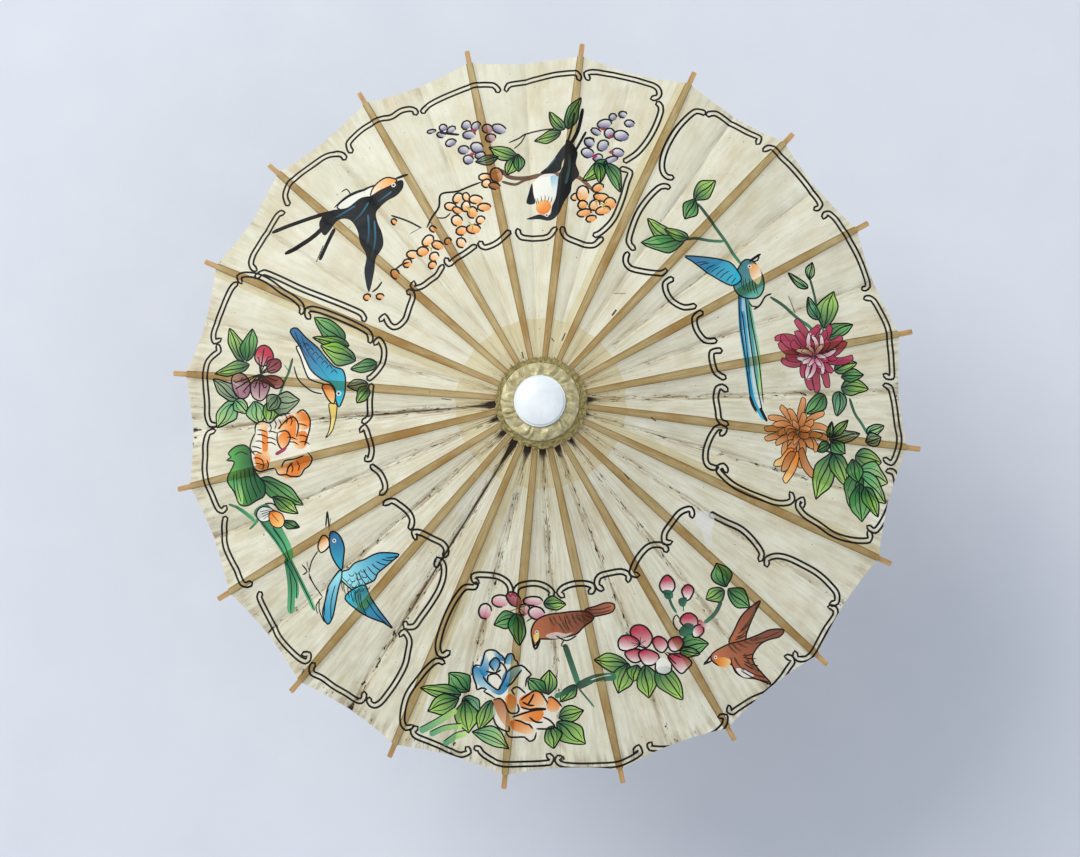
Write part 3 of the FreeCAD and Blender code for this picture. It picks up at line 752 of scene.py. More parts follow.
    def upper_branch(self) -> None:
        """Plum branch, its blossoms, and wisteria."""
        b = self.brush
        for line, width in (("-34,136 -25,141 -20,137 -12,136 0,138 12,138 22,136 31,127", 2.6),
                ("-24,134 -16,132 -10,135 -2,137", 1.8),
                ("-68,106 -65,112 -61,119 -60,127 -50,129 -36,134", 1.3), ("-62,112 -57,112 -54,115", 0.9),
                ("-47,101 -47,97", 0.9), ("-90,115 -80,111 -71,106", 1.1), ("-78,103 -72,106", 0.9),
                ("-20,159 -14,162 -10,165 0,167 8,168", 1.0), ("-10,165 -13,159 -17,155", 0.8)):
            b.ink(line, width, tone=Tone.BRANCH if width > 1.5 else Tone.INK)
        b.cups(Tone.PALE_ORANGE, (-54, 119, 6.5, 6), (-50, 124.5, 6.5, 6), (-45, 125, 5, 5),
            (-39, 123, 7.5, 6), (-45, 119, 6, 6), (-50, 110, 7, 6.5), (-36, 110, 6, 4.5), (-34, 137, 7, 5),
            (-33, 133, 6, 5), (20, 124, 6, 4.5), (24, 126, 8, 9), (31, 119, 7, 6), (-47, 96, 6.5, 5.5),
            (-67, 98, 7, 6.5), (-76, 90, 6.5, 6), (-63, 88, 6, 5.5))
        b.cups(Tone.ORANGE, (-50, 116.5, 6, 4.5), (-34, 118, 7.5, 5.5), (-41, 115, 7, 6.5),
            (-47, 103.5, 7, 5.5), (-40, 104.5, 7.5, 6.5), (-61, 95, 6.5, 6), (-70, 91.5, 7, 6),
            (-64, 83, 5, 4.5), (-79, 84.5, 6, 5), (33, 130, 7, 5.5), (35, 124, 8, 6), (24, 119, 6.5, 5),
            (40, 120, 7, 7.5), (25, 114, 7.5, 5.5), (36, 115.5, 8, 6), (29, 110.5, 5.5, 5),
            (-64, 105, 4.5, 4), (-55, 97, 4.5, 4), (-88, 111, 4, 3.5), (-86, 78, 6, 5.5),
            (-103, 65, 4.5, 4), (-95, 65, 4.5, 4))
        b.cups(Tone.AMBER, (-27, 138, 8.5, 8.5), (-28, 131, 6.5, 5))
        for spot in ((-43, 117), (-41, 107), (32, 121), (36, 119), (-65, 93)):
            b.fill([(spot[0] + 1.3 * math.cos(a), spot[1] + 1.3 * math.sin(a)) for a in range(6)],
                Tone.YELLOW)
            b.lines(0.6, [spot, (spot[0] + 2.6, spot[1] + 1.8)], [spot, (spot[0] - 2.2, spot[1] + 2.2)],
                [spot, (spot[0] + 0.6, spot[1] - 2.8)])
        for line in ("-86,81 -82,84 -78,85", "-100,68 -97,70 -94,74"):
            b.ink(line, 1.2)
        b.cups(Tone.PURPLE, (-67, 168, 5, 3), (-60, 170, 5, 4.5), (-61, 165.5, 6, 3.5), (-55, 168.5, 5, 5),
            (-55, 160, 7.5, 4.5), (-46, 171, 6, 5.5), (-40, 170, 6.5, 5), (-44, 164.5, 7, 6),
            (-26, 168, 9, 6), (-47, 155, 6, 6), (-39, 156, 8.5, 6.5), (-44, 148.5, 7, 5.5),
            (-37, 151, 6, 5), (42, 175.5, 5, 4.5), (48, 177.5, 5.5, 4), (52, 171.5, 6.5, 4.5),
            (37, 171, 8, 6.5), (32, 166, 6, 5), (40, 165, 7, 6), (47, 163.5, 9, 7), (28, 159, 7, 5.5),
            (36, 157, 7.5, 6.5), (27, 152, 7.5, 6.5), (45, 152.5, 7, 6), (41, 148, 7, 5), (33, 149, 6, 5))
        b.cups(Tone.MAUVE, (-33, 168, 6.5, 6), (-31, 162, 7, 5))
        for spot in ((-41, 167), (-42, 152), (36, 168), (41, 163), (41, 153), (31, 150)):
            b.fill([(spot[0] + 1.7 * math.cos(a), spot[1] + 1.2 * math.sin(a)) for a in range(6)],
                Tone.DEEP_CRIMSON)
        b.lines(1.6, "-62,167 -56,166 -50,165", "25,161 28,162 31,161")
        b.leaves(0.06, ("-14,150 -32,156", 8, Tone.LEAF), ("-17,150 -21,138", 7, Tone.LEAF),
            ("-26,150 -40,147", 6, Tone.OLIVE_LEAF), ("-15,152 -14,140", 6, Tone.DARK_LEAF),
            ("15,167 23,188", 8, Tone.DARK_LEAF), ("13,167 4,179", 7, Tone.LEAF),
            ("11,166 -5,160", 7, Tone.LEAF), ("38,148 24,134", 9, Tone.LEAF),
            ("38,146 46,127", 8, Tone.DARK_LEAF), ("33,146 34,133", 7, Tone.LEAF))

    def upper_swallows(self) -> None:
        """A swallow in flight and one diving."""
        b = self.brush
        b.shape("-100,134 -110,131 -118,127 -123,121 -112,118 -100,121 -92,127", Tone.WHITE)
        b.fill("-84,137 -83,132 -87,127 -93,124 -99,118 -98,111 -95,104 -94,96 -98,88 -99,80 -102,68 "
            "-105,80 -104,90 -108,98 -110,106 -115,113 -122,113 -130,104 -134,112 -128,119 -117,121 "
            "-109,127 -100,129 -92,134", Tone.SWALLOW)
        for line, width in (("-122,119 -141,115 -164,108", 2.4), ("-128,112 -140,102 -155,94", 2.8),
                ("-124,108 -129,98 -133,89", 2.4), ("-131,98 -135,88", 1.2),
                ("-115,129 -118,133 -121,131", 0.8), ("-100,135 -110,132 -118,128 -125,121", 0.9),
                ("-88,138 -84,139 -80,140", 1.6)):
            b.ink(line, width)
        for line in ("-104,124 -108,117 -113,112", "-100,112 -99,100 -101,86", "-112,122 -120,117 -127,113",
                "-104,116 -103,104 -104,96", "-90,130 -94,127 -99,124"):
            b.ink(line, 1.1, tone=Tone.STEEL)
        b.shape("-87,137 -94,139 -101,134 -103,128 -97,131 -90,134", Tone.PALE_ORANGE)
        b.eye((-89, 134))
        b.fill("-1,139 4,144 8,150 12,156 16,159 15,152 12,146 10,140", Tone.SWALLOW)
        b.fill("-5,133 0,138 8,138 9,130 7,122 3,122 -3,121 -5,126", Tone.WHITE)
        b.fill("5,137 9,137 10,130 8,124 6,129", Tone.PALE_BLUE)
        b.fill("14,160 18,158 21,152 20,145 22,138 18,133 17,127 13,120 10,113 5,109 -2,110 -9,110 -5,112 "
            "-1,113 2,112 5,113 6,118 8,123 9,130 10,138 13,146", Tone.SWALLOW)
        b.fill("-6,133 -8,126 -9,120 -4,120 -5,126", Tone.SWALLOW)
        b.fill([(1 + 4.6 * math.cos(a), 117.5 + 4.8 * math.sin(a)) for a in range(6)], Tone.ORANGE,
            (2, 116), (-2, 122))
        b.ink("16,156 21,166 24,181", 2.2)
        b.ink("14,156 17,166 19,178", 1.3)
        b.ink("19,152 23,160 26,166", 1.5)
        b.ink("14,132 16,142 16,152", 1.6, tone=Tone.STEEL)
        b.ink("8,149 5,145 2,141", 0.9, tone=Tone.STEEL)
        b.feathers("-3,119 1,121 5,120", "-4,123 1,125 6,124", 0.5)
        b.eye((3, 112.5), 1.2)

    def right_spray(self) -> None:
        """Twigs, two chrysanthemums and their leaves."""
        b = self.brush
        for line, width in (("92,121 97,114 103,105 108,98 113,90 118,83", 1.9),
                ("85,98 90,99 100,98 107,98", 1.8), ("134,65 142,60 150,53 158,47 161,40", 1.9),
                ("149,56 145,66", 1.2), ("158,78 161,66 163,56 166,44", 1.5),
                ("181,6 184,-3 188,-9 192,-16", 1.7), ("163,-24 172,-28 182,-36", 1.5)):
            b.ink(line, width, tone=Tone.STEM)
        b.leaves(0.05, ("90,123 103,136", 10, Tone.LEAF), ("90,124 84,111", 9, Tone.DARK_LEAF),
            ("78,97 62,111", 10, Tone.LEAF), ("84,98 58,96", 11, Tone.DARK_LEAF),
            ("86,99 72,105", 7, Tone.LEAF), ("157,71 145,80", 5, Tone.PALE_LEAF),
            ("158,76 160,87", 5, Tone.PALE_LEAF), ("166,47 173,70", 12, Tone.LEAF),
            ("167,41 184,50", 9, Tone.DARK_LEAF), ("163,52 157,66", 7, Tone.TEAL_LEAF),
            ("172,22 186,27", 8, Tone.LEAF), ("176,12 193,12", 10, Tone.LEAF),
            ("175,10 173,-5", 9, Tone.TEAL_LEAF), ("166,8 154,-4", 10, Tone.DARK_LEAF),
            ("176,18 190,20", 7, Tone.DARK_LEAF))
        b.chrysanthemum((149, -15), 19, Tone.AMBER, 3)
        for line, tone in (([(146, -24), (140, -32), (135, -33)], Tone.ORANGE),
                           ([(149, -26), (146, -36), (141, -44)], Tone.ORANGE),
                           ([(151, -24), (154, -34), (160, -41)], Tone.AMBER),
                           ([(147, -26), (143, -32), (141, -38)], Tone.AMBER)):
            curve = smooth(line)
            one, other = sides(curve, 1.2 + 3.4 * np.sin(np.linspace(0.4, 2.7, len(curve))))
            b.shape([tuple(p) for p in [*one, *other[::-1]]][::2], tone, line[0], line[-1], 0.6)
        b.chrysanthemum((159, 31), 22, Tone.DEEP_CRIMSON, 11)
        b.chrysanthemum((160, 30), 13, Tone.PINK, 5, ((1.0, 9), (0.6, 7)))
        b.leaves(0.0, ("168,-19 187,-15", 8, Tone.OLIVE_LEAF), ("169,-18 180,-7", 5, Tone.LEAF),
            ("168,-18 170,-8", 4, Tone.LEAF), ("169,-20 178,-27", 8, Tone.DARK_LEAF),
            ("170,-26 160,-54", 12, Tone.LEAF), ("171,-27 179,-46", 11, Tone.LEAF),
            ("168,-21 161,-26", 6, Tone.DARK_LEAF), ("191,-15 202,-10", 7, Tone.PALE_LEAF),
            ("190,-20 200,-17", 8, Tone.OLIVE_LEAF), ("184,-28 200,-32", 12, Tone.LEAF),
            ("186,-36 204,-44", 15, Tone.PALE_LEAF), ("186,-38 203,-56", 12, Tone.PALE_LEAF),
            ("185,-38 181,-59", 12, Tone.DARK_LEAF), ("187,-44 188,-67", 13, Tone.DARK_LEAF),
            ("190,-46 198,-64", 9, Tone.LEAF), ("182,-30 186,-44", 9, Tone.DARK_LEAF))

    def right_bird(self) -> None:
        """A long-tailed blue bird on the twig."""
        b = self.brush
        b.fill("114,74 115,60 117,45 119,28 121,10 124,-3 131,-9 128,5 127,20 127,34 125,47 122,62 121,72",
            Tone.PALE_BLUE, (118, 70), (128, -8), 0.5)
        for line, width, tone in (("116,72 116,50 119,25 122,4", 2.2, Tone.BLUE),
                ("119,74 121,52 124,26 127,6", 2.4, Tone.TEAL),
                ("121,62 124,44 127,26 127,8", 1.8, Tone.PALE_LEAF),
                ("118,56 120,36 122,14 126,-4", 1.5, Tone.SKY), ("120,20 123,4 129,-8", 2.0, Tone.BLUE)):
            b.ink(line, width, tone=tone)
        b.lines(0.75, "115,70 116,48 119,24 122,2 125,-4", "119,66 121,45 124,20 129,-6",
            "121,60 124,42 127,22 129,2", "117,56 119,38 121,18")
        for line in ("121,6 123,0 125,-3", "127,-1 129,-5 131,-9"):
            b.ink(line, 1.8)
        b.shape("113,76 118,86 123,87 127,83 130,76 130,69 126,64 118,64 113,68", Tone.TEAL, (118, 80),
            (128, 66))
        b.fill("122,84 127,84 129,78 127,72 123,76", Tone.PALE_ORANGE)
        b.shape("84,88 95,88 105,87 111,85 115,80 117,75 112,71 106,73 101,76 95,80 88,85", Tone.BLUE,
            (86, 87), (114, 74))
        b.feathers("97,85 104,83 110,80 114,76", "90,84 98,79 104,75 111,72")
        b.ink("122,86 126,89 129,91", 1.6)
        b.ink("124,86 127,87 128,90", 1.0)
        b.feathers("117,75 121,76 125,74", "118,68 122,67 127,66", 0.5)
        b.ink("124,57 128,60 131,65 135,67", 1.1)
        b.ink("121,62 123,59 127,59", 0.9)
        b.eye((122, 83), 1.3)

    def lower_flowers(self) -> None:
        """Pink blossoms, a blue and an orange peony, crimson blossoms and their leaves."""
        b = self.brush
        b.leaves(0.0, ("1,-114 14,-115", 8, Tone.LEAF), ("-14,-121 -28,-127", 9, Tone.DARK_LEAF),
            ("-15,-120 -13,-139", 10, Tone.DARK_LEAF), ("50,-150 30,-147", 10, Tone.LEAF),
            ("50,-149 44,-167", 11, Tone.LEAF), ("55,-150 53,-160", 9, Tone.LEAF),
            ("60,-150 62,-170", 12, Tone.LEAF), ("67,-152 82,-171", 13, Tone.LEAF),
            ("79,-139 97,-138", 11, Tone.DARK_LEAF), ("80,-142 92,-144", 6, Tone.PALE_LEAF),
            ("107,-105 101,-91", 11, Tone.DARK_LEAF), ("108,-106 121,-117", 10, Tone.DARK_LEAF),
            ("106,-107 95,-112", 9, Tone.LEAF), ("-43,-166 -55,-155", 12, Tone.DARK_LEAF),
            ("-48,-168 -72,-164", 9, Tone.LEAF), ("-49,-170 -68,-178", 11, Tone.LEAF),
            ("-47,-170 -37,-178", 11, Tone.TEAL_LEAF), ("-46,-171 -44,-191", 13, Tone.LEAF),
            ("-30,-171 -38,-189", 9, Tone.LEAF), ("3,-168 4,-153", 9, Tone.LEAF),
            ("2,-167 -9,-158", 8, Tone.DARK_LEAF), ("8,-181 24,-177", 9, Tone.LEAF),
            ("8,-184 25,-197", 13, Tone.LEAF), ("5,-186 6,-200", 10, Tone.LEAF),
            ("20,-162 10,-172", 7, Tone.LEAF))
        for line, width in (([(-73, -190), (-62, -184), (-51, -177)], 4.2),
                            ([(-67, -192), (-58, -188), (-48, -187)], 3.4),
                            ([(-59, -198), (-52, -193), (-45, -191)], 3.8)):
            b.ink(line, width, tone=Tone.PALE_LEAF)
            b.ink([(x, y + width / 2) for x, y in line], 0.7)
        b.leaf((-42, -190), (-20, -200), 10, Tone.PALE_LEAF, 0.12)
        for line, width in (("13,-138 16,-147 19,-156 21,-162", 3.4), ("20,-163 31,-158 43,-157", 4.8),
                ("21,-164 26,-170 30,-175", 1.1), ("19,-163 12,-167 7,-169", 3.0),
                ("104,-113 102,-118 99,-122 94,-126", 2.4), ("73,-109 75,-115 78,-120", 1.6),
                ("82,-113 82,-119", 1.6)):
            b.ink(line, width, tone=Tone.STEM)
        for line in ("28,-159 34,-157 40,-156", "29,-161 36,-159"):
            b.ink(line, 0.6, tone=Tone.WHITE)
        b.cups(Tone.PINK, (-33, -119, 8.5, 8), (-24, -113, 9, 8), (-5, -113, 10, 6), (-10, -118, 7, 6),
            (-3, -120, 9, 8))
        b.cups(Tone.DEEP_CRIMSON, (-16, -112, 9, 8))
        for end in ((-19, -119), (-14, -122), (-9, -121), (-8, -115), (-11, -112), (-17, -115)):
            b.ink([(-13, -117), end], 1.2, tone=Tone.BRANCH)
        b.ink("-9,-125 -6,-123 -4,-124", 0.8)
        self.blue_peony()
        self.orange_peony()
        self.crimson_sprig()

    def blue_peony(self) -> None:
        """A blue peony, its pigment thick at the folds of its petals."""
        b = self.brush
        b.fill("-40,-152 -33,-143 -27,-142 -17,-145 -8,-154 -11,-163 -20,-168 -30,-169 -38,-164",
            Tone.PALE_PAPER)
        b.wet(Tone.BLUE_WATER, ((-36, -153), (-38, -166),
            "-41,-151 -37,-152 -33,-158 -29,-163 -33,-165 -37,-163 -40,-158"), ((-36, -154), (-31, -143),
            "-34,-143 -32,-146 -31,-150 -32,-156 -35,-157 -37,-153 -36,-148"), ((-24, -146), (-29, -141),
            "-29,-142 -26,-142 -23,-145 -22,-148 -26,-147"), ((-28, -149), (-24, -153),
            "-31,-149 -27,-146 -24,-149 -25,-153 -29,-153"), ((-22, -160), (-11, -151),
            "-23,-156 -18,-151 -12,-150 -12,-154 -17,-158 -20,-162 -24,-163"), ((-21, -146), (-16, -150),
            "-22,-147 -19,-144 -17,-146 -17,-149 -21,-150"), ((-24, -165), (-31, -160),
            "-27,-165 -22,-161 -19,-161 -21,-165 -25,-168 -30,-166 -33,-162"))
        b.lines(1.15, "-36,-151 -39,-150.5 -41,-153 -40.5,-158 -39,-162 -38.5,-165 -36,-164 -33,-164.5 "
            "-34.5,-166 -31,-168 -28,-170", "-36,-151 -34.5,-147 -33.5,-143 -31,-141.5 -27,-142 -24,-145",
            "-24,-144 -22,-147 -22,-150", "-22,-148 -20,-144 -17,-144 -16,-147 -14.5,-148 -14,-151",
            "-21,-155 -17,-151.5 -12,-150.5 -9,-153 -6.5,-156 -9,-158 -10,-163",
            "-12,-153 -15,-157 -18,-161 -21,-163",
            "-28,-154 -31,-150 -29,-147 -27,-146 -25,-148 -25,-151 -27,-154",
            "-25,-148 -22,-151 -21,-155 -23,-160 -26,-165", "-35,-157 -32,-161 -26,-165 -24,-161",
            "-33,-154 -28,-155 -24,-153", "-32,-160 -32,-157 -29,-155.5 -26,-156 -24,-159")

    def orange_peony(self) -> None:
        """An orange peony with pale ruffled rims."""
        b = self.brush
        b.fill("-28,-172 -17,-165 -3,-166 9,-172 8,-184 0,-188 -5,-195 -20,-192 -28,-183", Tone.PALE_PAPER)
        b.wet(Tone.AMBER, ((-26, -171), (-20, -188), "-29,-171 -25,-170 -22,-173 -20,-178 -19,-184 -20,-188 "
            "-24,-184 -27,-179"))
        b.wet(Tone.ORANGE, ((-20, -170), (-17, -180),
            "-22,-170 -19,-167 -16,-169 -15,-172 -17,-176 -20,-177"), ((-9, -169), (1, -177), "-14,-171 "
            "-11,-168 -6,-166 -2,-166 0,-169 1,-173 -4,-176 -12,-176"), ((-6, -179), (-17, -184),
            "-17,-181 -12,-178 -5,-177 0,-177 0,-181 -4,-184 -12,-183"),
            ((5, -171), (6, -182), "2,-172 5,-169.5 8,-171 10,-175 7,-178 3,-177"), ((-15, -184),
            (-10, -194), "-19,-183 -12,-184 -7,-186 -5,-190 -11,-191 -18,-188"))
        b.lines(1.15, "-29,-171 -25,-170 -22,-173 -21,-176 -19,-178.5 -15,-178.5 -14,-176 -15,-173",
            "-29,-181 -28,-185 -25,-188 -20,-189.5 -20,-186",
            "-22,-189 -20,-192.5 -15,-193 -11,-193 -8,-195.5 -5,-194 -4,-190",
            "-16,-168 -18,-165 -15,-163 -12,-165 -10,-167",
            "-13,-171 -9,-168 -5,-165.5 -2,-166 0,-168 3,-173", "-13,-175 -8,-176.5 -4,-176 2,-176",
            "-18,-181 -12,-179 -5,-177 2,-176.5", "-17,-182.5 -13,-183.5 -10,-185 -8,-185.5 -6,-188",
            "-8,-181 -4,-184 0,-184", "0,-181 4,-183 7,-187 3,-188 -4,-188", "3,-170 5,-169 9,-172 11,-175",
            "-9,-174 -7,-171 -5,-167", "-12,-172 -8,-174 -5,-174")

    def crimson_sprig(self) -> None:
        """Crimson blossoms and buds, each petal red above and white below."""
        b = self.brush
        for start, end, points in (((57, -129), (60, -144), "51,-131 53,-127.5 58,-127 62,-130 64,-135 "
                "61,-140 56,-139 53,-135"), ((67, -135), (70, -143),
                "64,-136 67,-133.5 71,-135 73,-139 70,-143 66,-141"), ((50, -134), (49, -141), "44,-137 "
                "46,-133.5 51,-133 56,-136 56,-139 53,-141 49,-142 45,-141"), ((53, -142), (53, -149),
                "48,-143 53,-141 58,-142 58,-147 54,-149 50,-147"), ((61, -142), (61, -150),
                "56,-143 60,-141 66,-143 68,-146 65,-150 60,-150.5 57,-147"), ((78, -135), (77, -142),
                "73,-138 75,-134.5 80,-134 82,-138 79,-142 75,-142"), ((79, -145), (81, -155), "73,-145 "
                "78,-143.5 83,-145 87,-149 84,-153 81,-155.5 77,-152 75,-149"), ((72, -100), (73, -107),
                "68,-104 70,-99.5 73,-98 76,-101 77,-105 74,-109 70,-108"), ((85, -105), (85, -111),
                "81,-108 82,-105 85,-103.5 88,-106 87,-110 84,-113"), ((85, -122), (86, -130),
                "80,-125 82,-121 86,-120 90,-123 90,-128 85,-129"), ((93, -129), (88, -132),
                "87,-131 89,-127.5 93,-127 94,-131 91,-134 88,-134")):
            b.fill(points, Tone.CRIMSON, start, end)
            b.ink(points, 1.05, True)
        b.fill("66,-149 70,-146 75,-150 75,-154 71,-156 67,-154", Tone.WHITE, fade=0.6)
        b.ink("66,-149 66,-154 71,-156 75,-154 75,-150", 1.0)
        b.fill("83,-126 88,-127 87,-132 82,-134 79,-131", Tone.STEM)
        b.fill("70,-107 75,-107 76,-111 72,-112", Tone.STEM)
        b.fill("79,-112 84,-111 83,-116 80,-116", Tone.STEM)
        b.ink("80,-124 78,-121 76,-124 77,-128 80,-131", 0.9)
        b.ink("91,-124 94,-127 97,-129", 2.2, tone=Tone.CRIMSON)
        for end in ((53, -139), (54, -136), (57, -134), (60, -136), (60, -140), (56, -141), (52, -137.5)):
            b.ink([(57, -138), end], 0.9)
        b.lines(0.9, "71,-143 74,-146 78,-150", "72,-143 76,-144 81,-146")

    def lower_birds(self) -> None:
        """A brown bird on the twig and one in flight."""
        b = self.brush
        b.shape("25,-118 31,-116 37,-114 42,-115 41,-119 35,-121 27,-122", Tone.RUST)
        b.shape("-4,-139 -6,-134 -6,-129 -3,-124 3,-121 10,-120 18,-119 26,-119 30,-123 24,-128 20,-132 "
            "13,-134 6,-135 0,-135 -2,-135", Tone.RUST, (26, -119), (-4, -132))
        b.ink("-6,-134 -4,-141 -1,-135", 1.3)
        b.feathers("13,-122 18,-121 25,-121", "16,-130 22,-127 30,-123", 0.6)
        b.feathers("27,-118 29,-120", "40,-116 40,-118", 0.5)
        for first, last in (("4,-122 12,-121 20,-120", "8,-128 16,-126 24,-123"),
                ("10,-126 16,-124 24,-122", "14,-132 20,-129 27,-125")):
            b.feathers(first, last, 1.1, Tone.BRANCH)
        b.fill("2,-133 8,-131 14,-132 18,-131 13,-134 6,-135", Tone.PALE_PAPER)
        b.ink("8,-133 14,-136 20,-133", 0.9)
        b.ink("13,-135 11,-139 14,-139", 0.8)
        b.fill("-5,-133 -2,-131 -2,-135 -4,-137", Tone.YELLOW)
        b.eye((-3, -131), 1.1)
        b.shape("109,-138 112,-130 116,-122 121,-117 127,-113 124,-120 121,-127 119,-133 118,-138",
            Tone.RUST, (126, -114), (112, -136))
        b.shape("98,-146 100,-143 105,-140 110,-138 118,-136 126,-133 133,-130 141,-130 139,-134 132,-136 "
            "127,-139 123,-145 124,-150 129,-156 134,-162 125,-159 118,-158 113,-155 110,-150 104,-151 "
            "100,-149", Tone.RUST, (136, -131), (104, -148))
        b.fill("101,-147 106,-146 110,-148 108,-152 103,-151", Tone.ORANGE)
        b.fill("113,-153 118,-153 124,-157 118,-158", Tone.WHITE)
        b.feathers("112,-136 115,-131 119,-127", "119,-133 121,-125 125,-116", 0.6)
        b.feathers("117,-145 118,-150 116,-154", "124,-144 127,-152 133,-161", 0.7)
        b.feathers("122,-136 124,-138", "139,-131 134,-135", 0.5)
        for first, last in (("108,-138 116,-137 124,-135", "114,-144 120,-141 130,-134"),
                ("113,-136 117,-130", "119,-130 124,-117"), ("112,-146 118,-144", "118,-154 127,-156")):
            b.feathers(first, last, 1.2, Tone.BRANCH)
        b.ink("98,-145 96,-148 94,-150 99,-148", 1.2)
        b.ink("110,-146 111,-151 114,-155", 0.7)
        b.eye((101, -146), 1.1)

    def left_flowers(self) -> None:
        """Crimson flower, orange peony, a smaller flower and their leaves."""
        b = self.brush
        b.ink("-148,30 -150,22 -153,15 -156,8", 1.6, tone=Tone.STEM)
        b.ink("-150,22 -153,26", 1.2, tone=Tone.STEM)
        b.leaves(0.0, ("-179,29 -189,50", 9, Tone.LEAF), ("-177,29 -174,49", 10, Tone.DARK_LEAF),
            ("-175,27 -197,22", 8, Tone.LEAF), ("-182,6 -198,19", 10, Tone.OLIVE_LEAF),
            ("-184,5 -196,-10", 12, Tone.PALE_LEAF), ("-184,6 -176,-2", 9, Tone.PALE_LEAF),
            ("-172,5 -168,-9", 12, Tone.PALE_LEAF), ("-160,4 -163,-8", 11, Tone.LEAF),
            ("-162,2 -143,5", 13, Tone.OLIVE_LEAF), ("-157,8 -163,-1", 10, Tone.OLIVE_LEAF),
            ("-116,38 -135,54", 12, Tone.DARK_LEAF), ("-113,36 -136,42", 7, Tone.LEAF),
            ("-109,27 -131,37", 12, Tone.LEAF), ("-96,25 -112,22", 8, Tone.DARK_LEAF),
            ("-101,13 -114,12", 7, Tone.OLIVE_LEAF), ("-101,11 -108,2", 8, Tone.LEAF),
            ("-168,-41 -141,-57", 11, Tone.DARK_LEAF), ("-160,-52 -144,-62", 8, Tone.LEAF),
            ("-154,-67 -143,-70", 5, Tone.DARK_LEAF))
        for tone, start, end, outline in (
            (Tone.CRIMSON, (-165, 33), (-170, 20),
             "-172,31 -170,37 -166,38.5 -162,36 -160,31 -163,27 -168,26"),
            (Tone.DEEP_CRIMSON, (-159, 27), (-165, 20), "-164,28 -160,30 -156,29 -155,25 -158,22 -163,22"),
            (Tone.MAUVE, (-177, 14), (-186, 18), "-186,19 -183,22 -178,21 -174,15 -176,8 -181,7 -185,12"),
            (Tone.MAUVE, (-168, 14), (-170, 5), "-174,15 -168,18 -162,15 -164,8 -168,5 -173,8"),
            (Tone.DEEP_CRIMSON, (-162, 17), (-154, 13), "-169,18 -161,20 -155,18 -153,14 -158,12 -163,15"),
        ):
            petal = route(outline)
            b.fill(petal, tone, start, end, 0.7)
            b.ink(petal, 0.95, True)
            middle = np.mean(petal, 0)
            for spot in petal[::2]:
                b.ink([(-168, 21), tuple((middle + spot) / 2 - 0.5),
                       tuple(middle * 0.25 + np.multiply(spot, 0.75))], 0.8)
        self.left_peony()

    def left_peony(self) -> None:
        """A wide orange peony with striped white petals around its middle."""
        b = self.brush
        b.fill("-171,-9 -160,-6 -148,-3 -138,-7 -137,-22 -136,-31 -145,-40 -156,-38 -166,-36 -173,-28 "
            "-171,-18", Tone.PALE_PAPER)
        b.wet(Tone.ORANGE, ((-165, -16), (-169, -10),
            "-169,-8 -165,-8 -163,-15 -163,-25 -166,-25 -167,-15"), ((-149, -10), (-157, -9),
            "-157,-10 -152,-5 -147,-4 -145,-12 -147,-19 -151,-16 -155,-14"),
            ((-140, -6), (-146, -9), "-146,-3 -141,-2 -137,-7 -138,-12 -144,-12"), ((-141, -17),
            (-148, -22), "-147,-18 -144,-14 -139,-14 -138,-20 -141,-24 -146,-23"), ((-153, -17),
            (-157, -23), "-157,-18 -154,-14 -150,-15 -150,-20 -153,-24 -157,-22"), ((-147, -36),
            (-157, -32), "-158,-34 -152,-33 -146,-31 -140,-28 -136,-29 -137,-33 -141,-36 -143,-39 -148,-41 "
            "-154,-40"), ((-166, -32), (-161, -26),
            "-171,-27 -163,-25 -161,-30 -163,-35 -167,-36 -170,-33"))
        b.lines(1.0, "-171,-14 -171,-9 -167,-7 -162,-8 -158,-5 -154,-3 -149,-3",
            "-171,-14 -173,-18 -174,-23 -171,-27", "-174,-29 -172,-34 -168,-37 -163,-36 -158,-35",
            "-158,-35 -156,-39 -151,-39 -149,-40 -143,-40 -140,-36 -137,-34 -135,-30 -138,-26",
            "-157,-12 -152,-7 -147,-5 -144,-10 -145,-17", "-145,-3 -141,-1 -137,-6 -137,-13 -140,-22",
            "-157,-14 -157,-19 -154,-24 -150,-21 -149,-16 -152,-13 -157,-14",
            "-154,-35 -152,-31 -146,-30 -140,-28", "-151,-39 -150,-35 -147,-32")
        b.lines(0.75, *([(x, y), (x + 3.2, y - 0.4 + 0.3 * (k % 3)), (x + 6.4, y - 1.6)] for k,
            (x, y) in enumerate(((-173, -22), (-173, -25), (-171, -19), (-170, -12), (-170, -15),
            (-172, -29), (-171, -32), (-164, -17), (-164, -20), (-163, -13), (-151, -17), (-150, -20),
            (-145, -9), (-144, -16), (-143, -20)))))
        b.lines(0.75, *([(x, y), (x + 1, y + 3), (x - 0.6, y + 6)] for x, y in ((-162, -14), (-159, -12),
            (-156, -12), (-166, -36), (-163, -36), (-148, -38), (-144, -37), (-152, -9), (-149, -10))))
        b.ink("-158,-27 -154,-25 -151,-23", 2.2, tone=Tone.DEEP_CRIMSON)

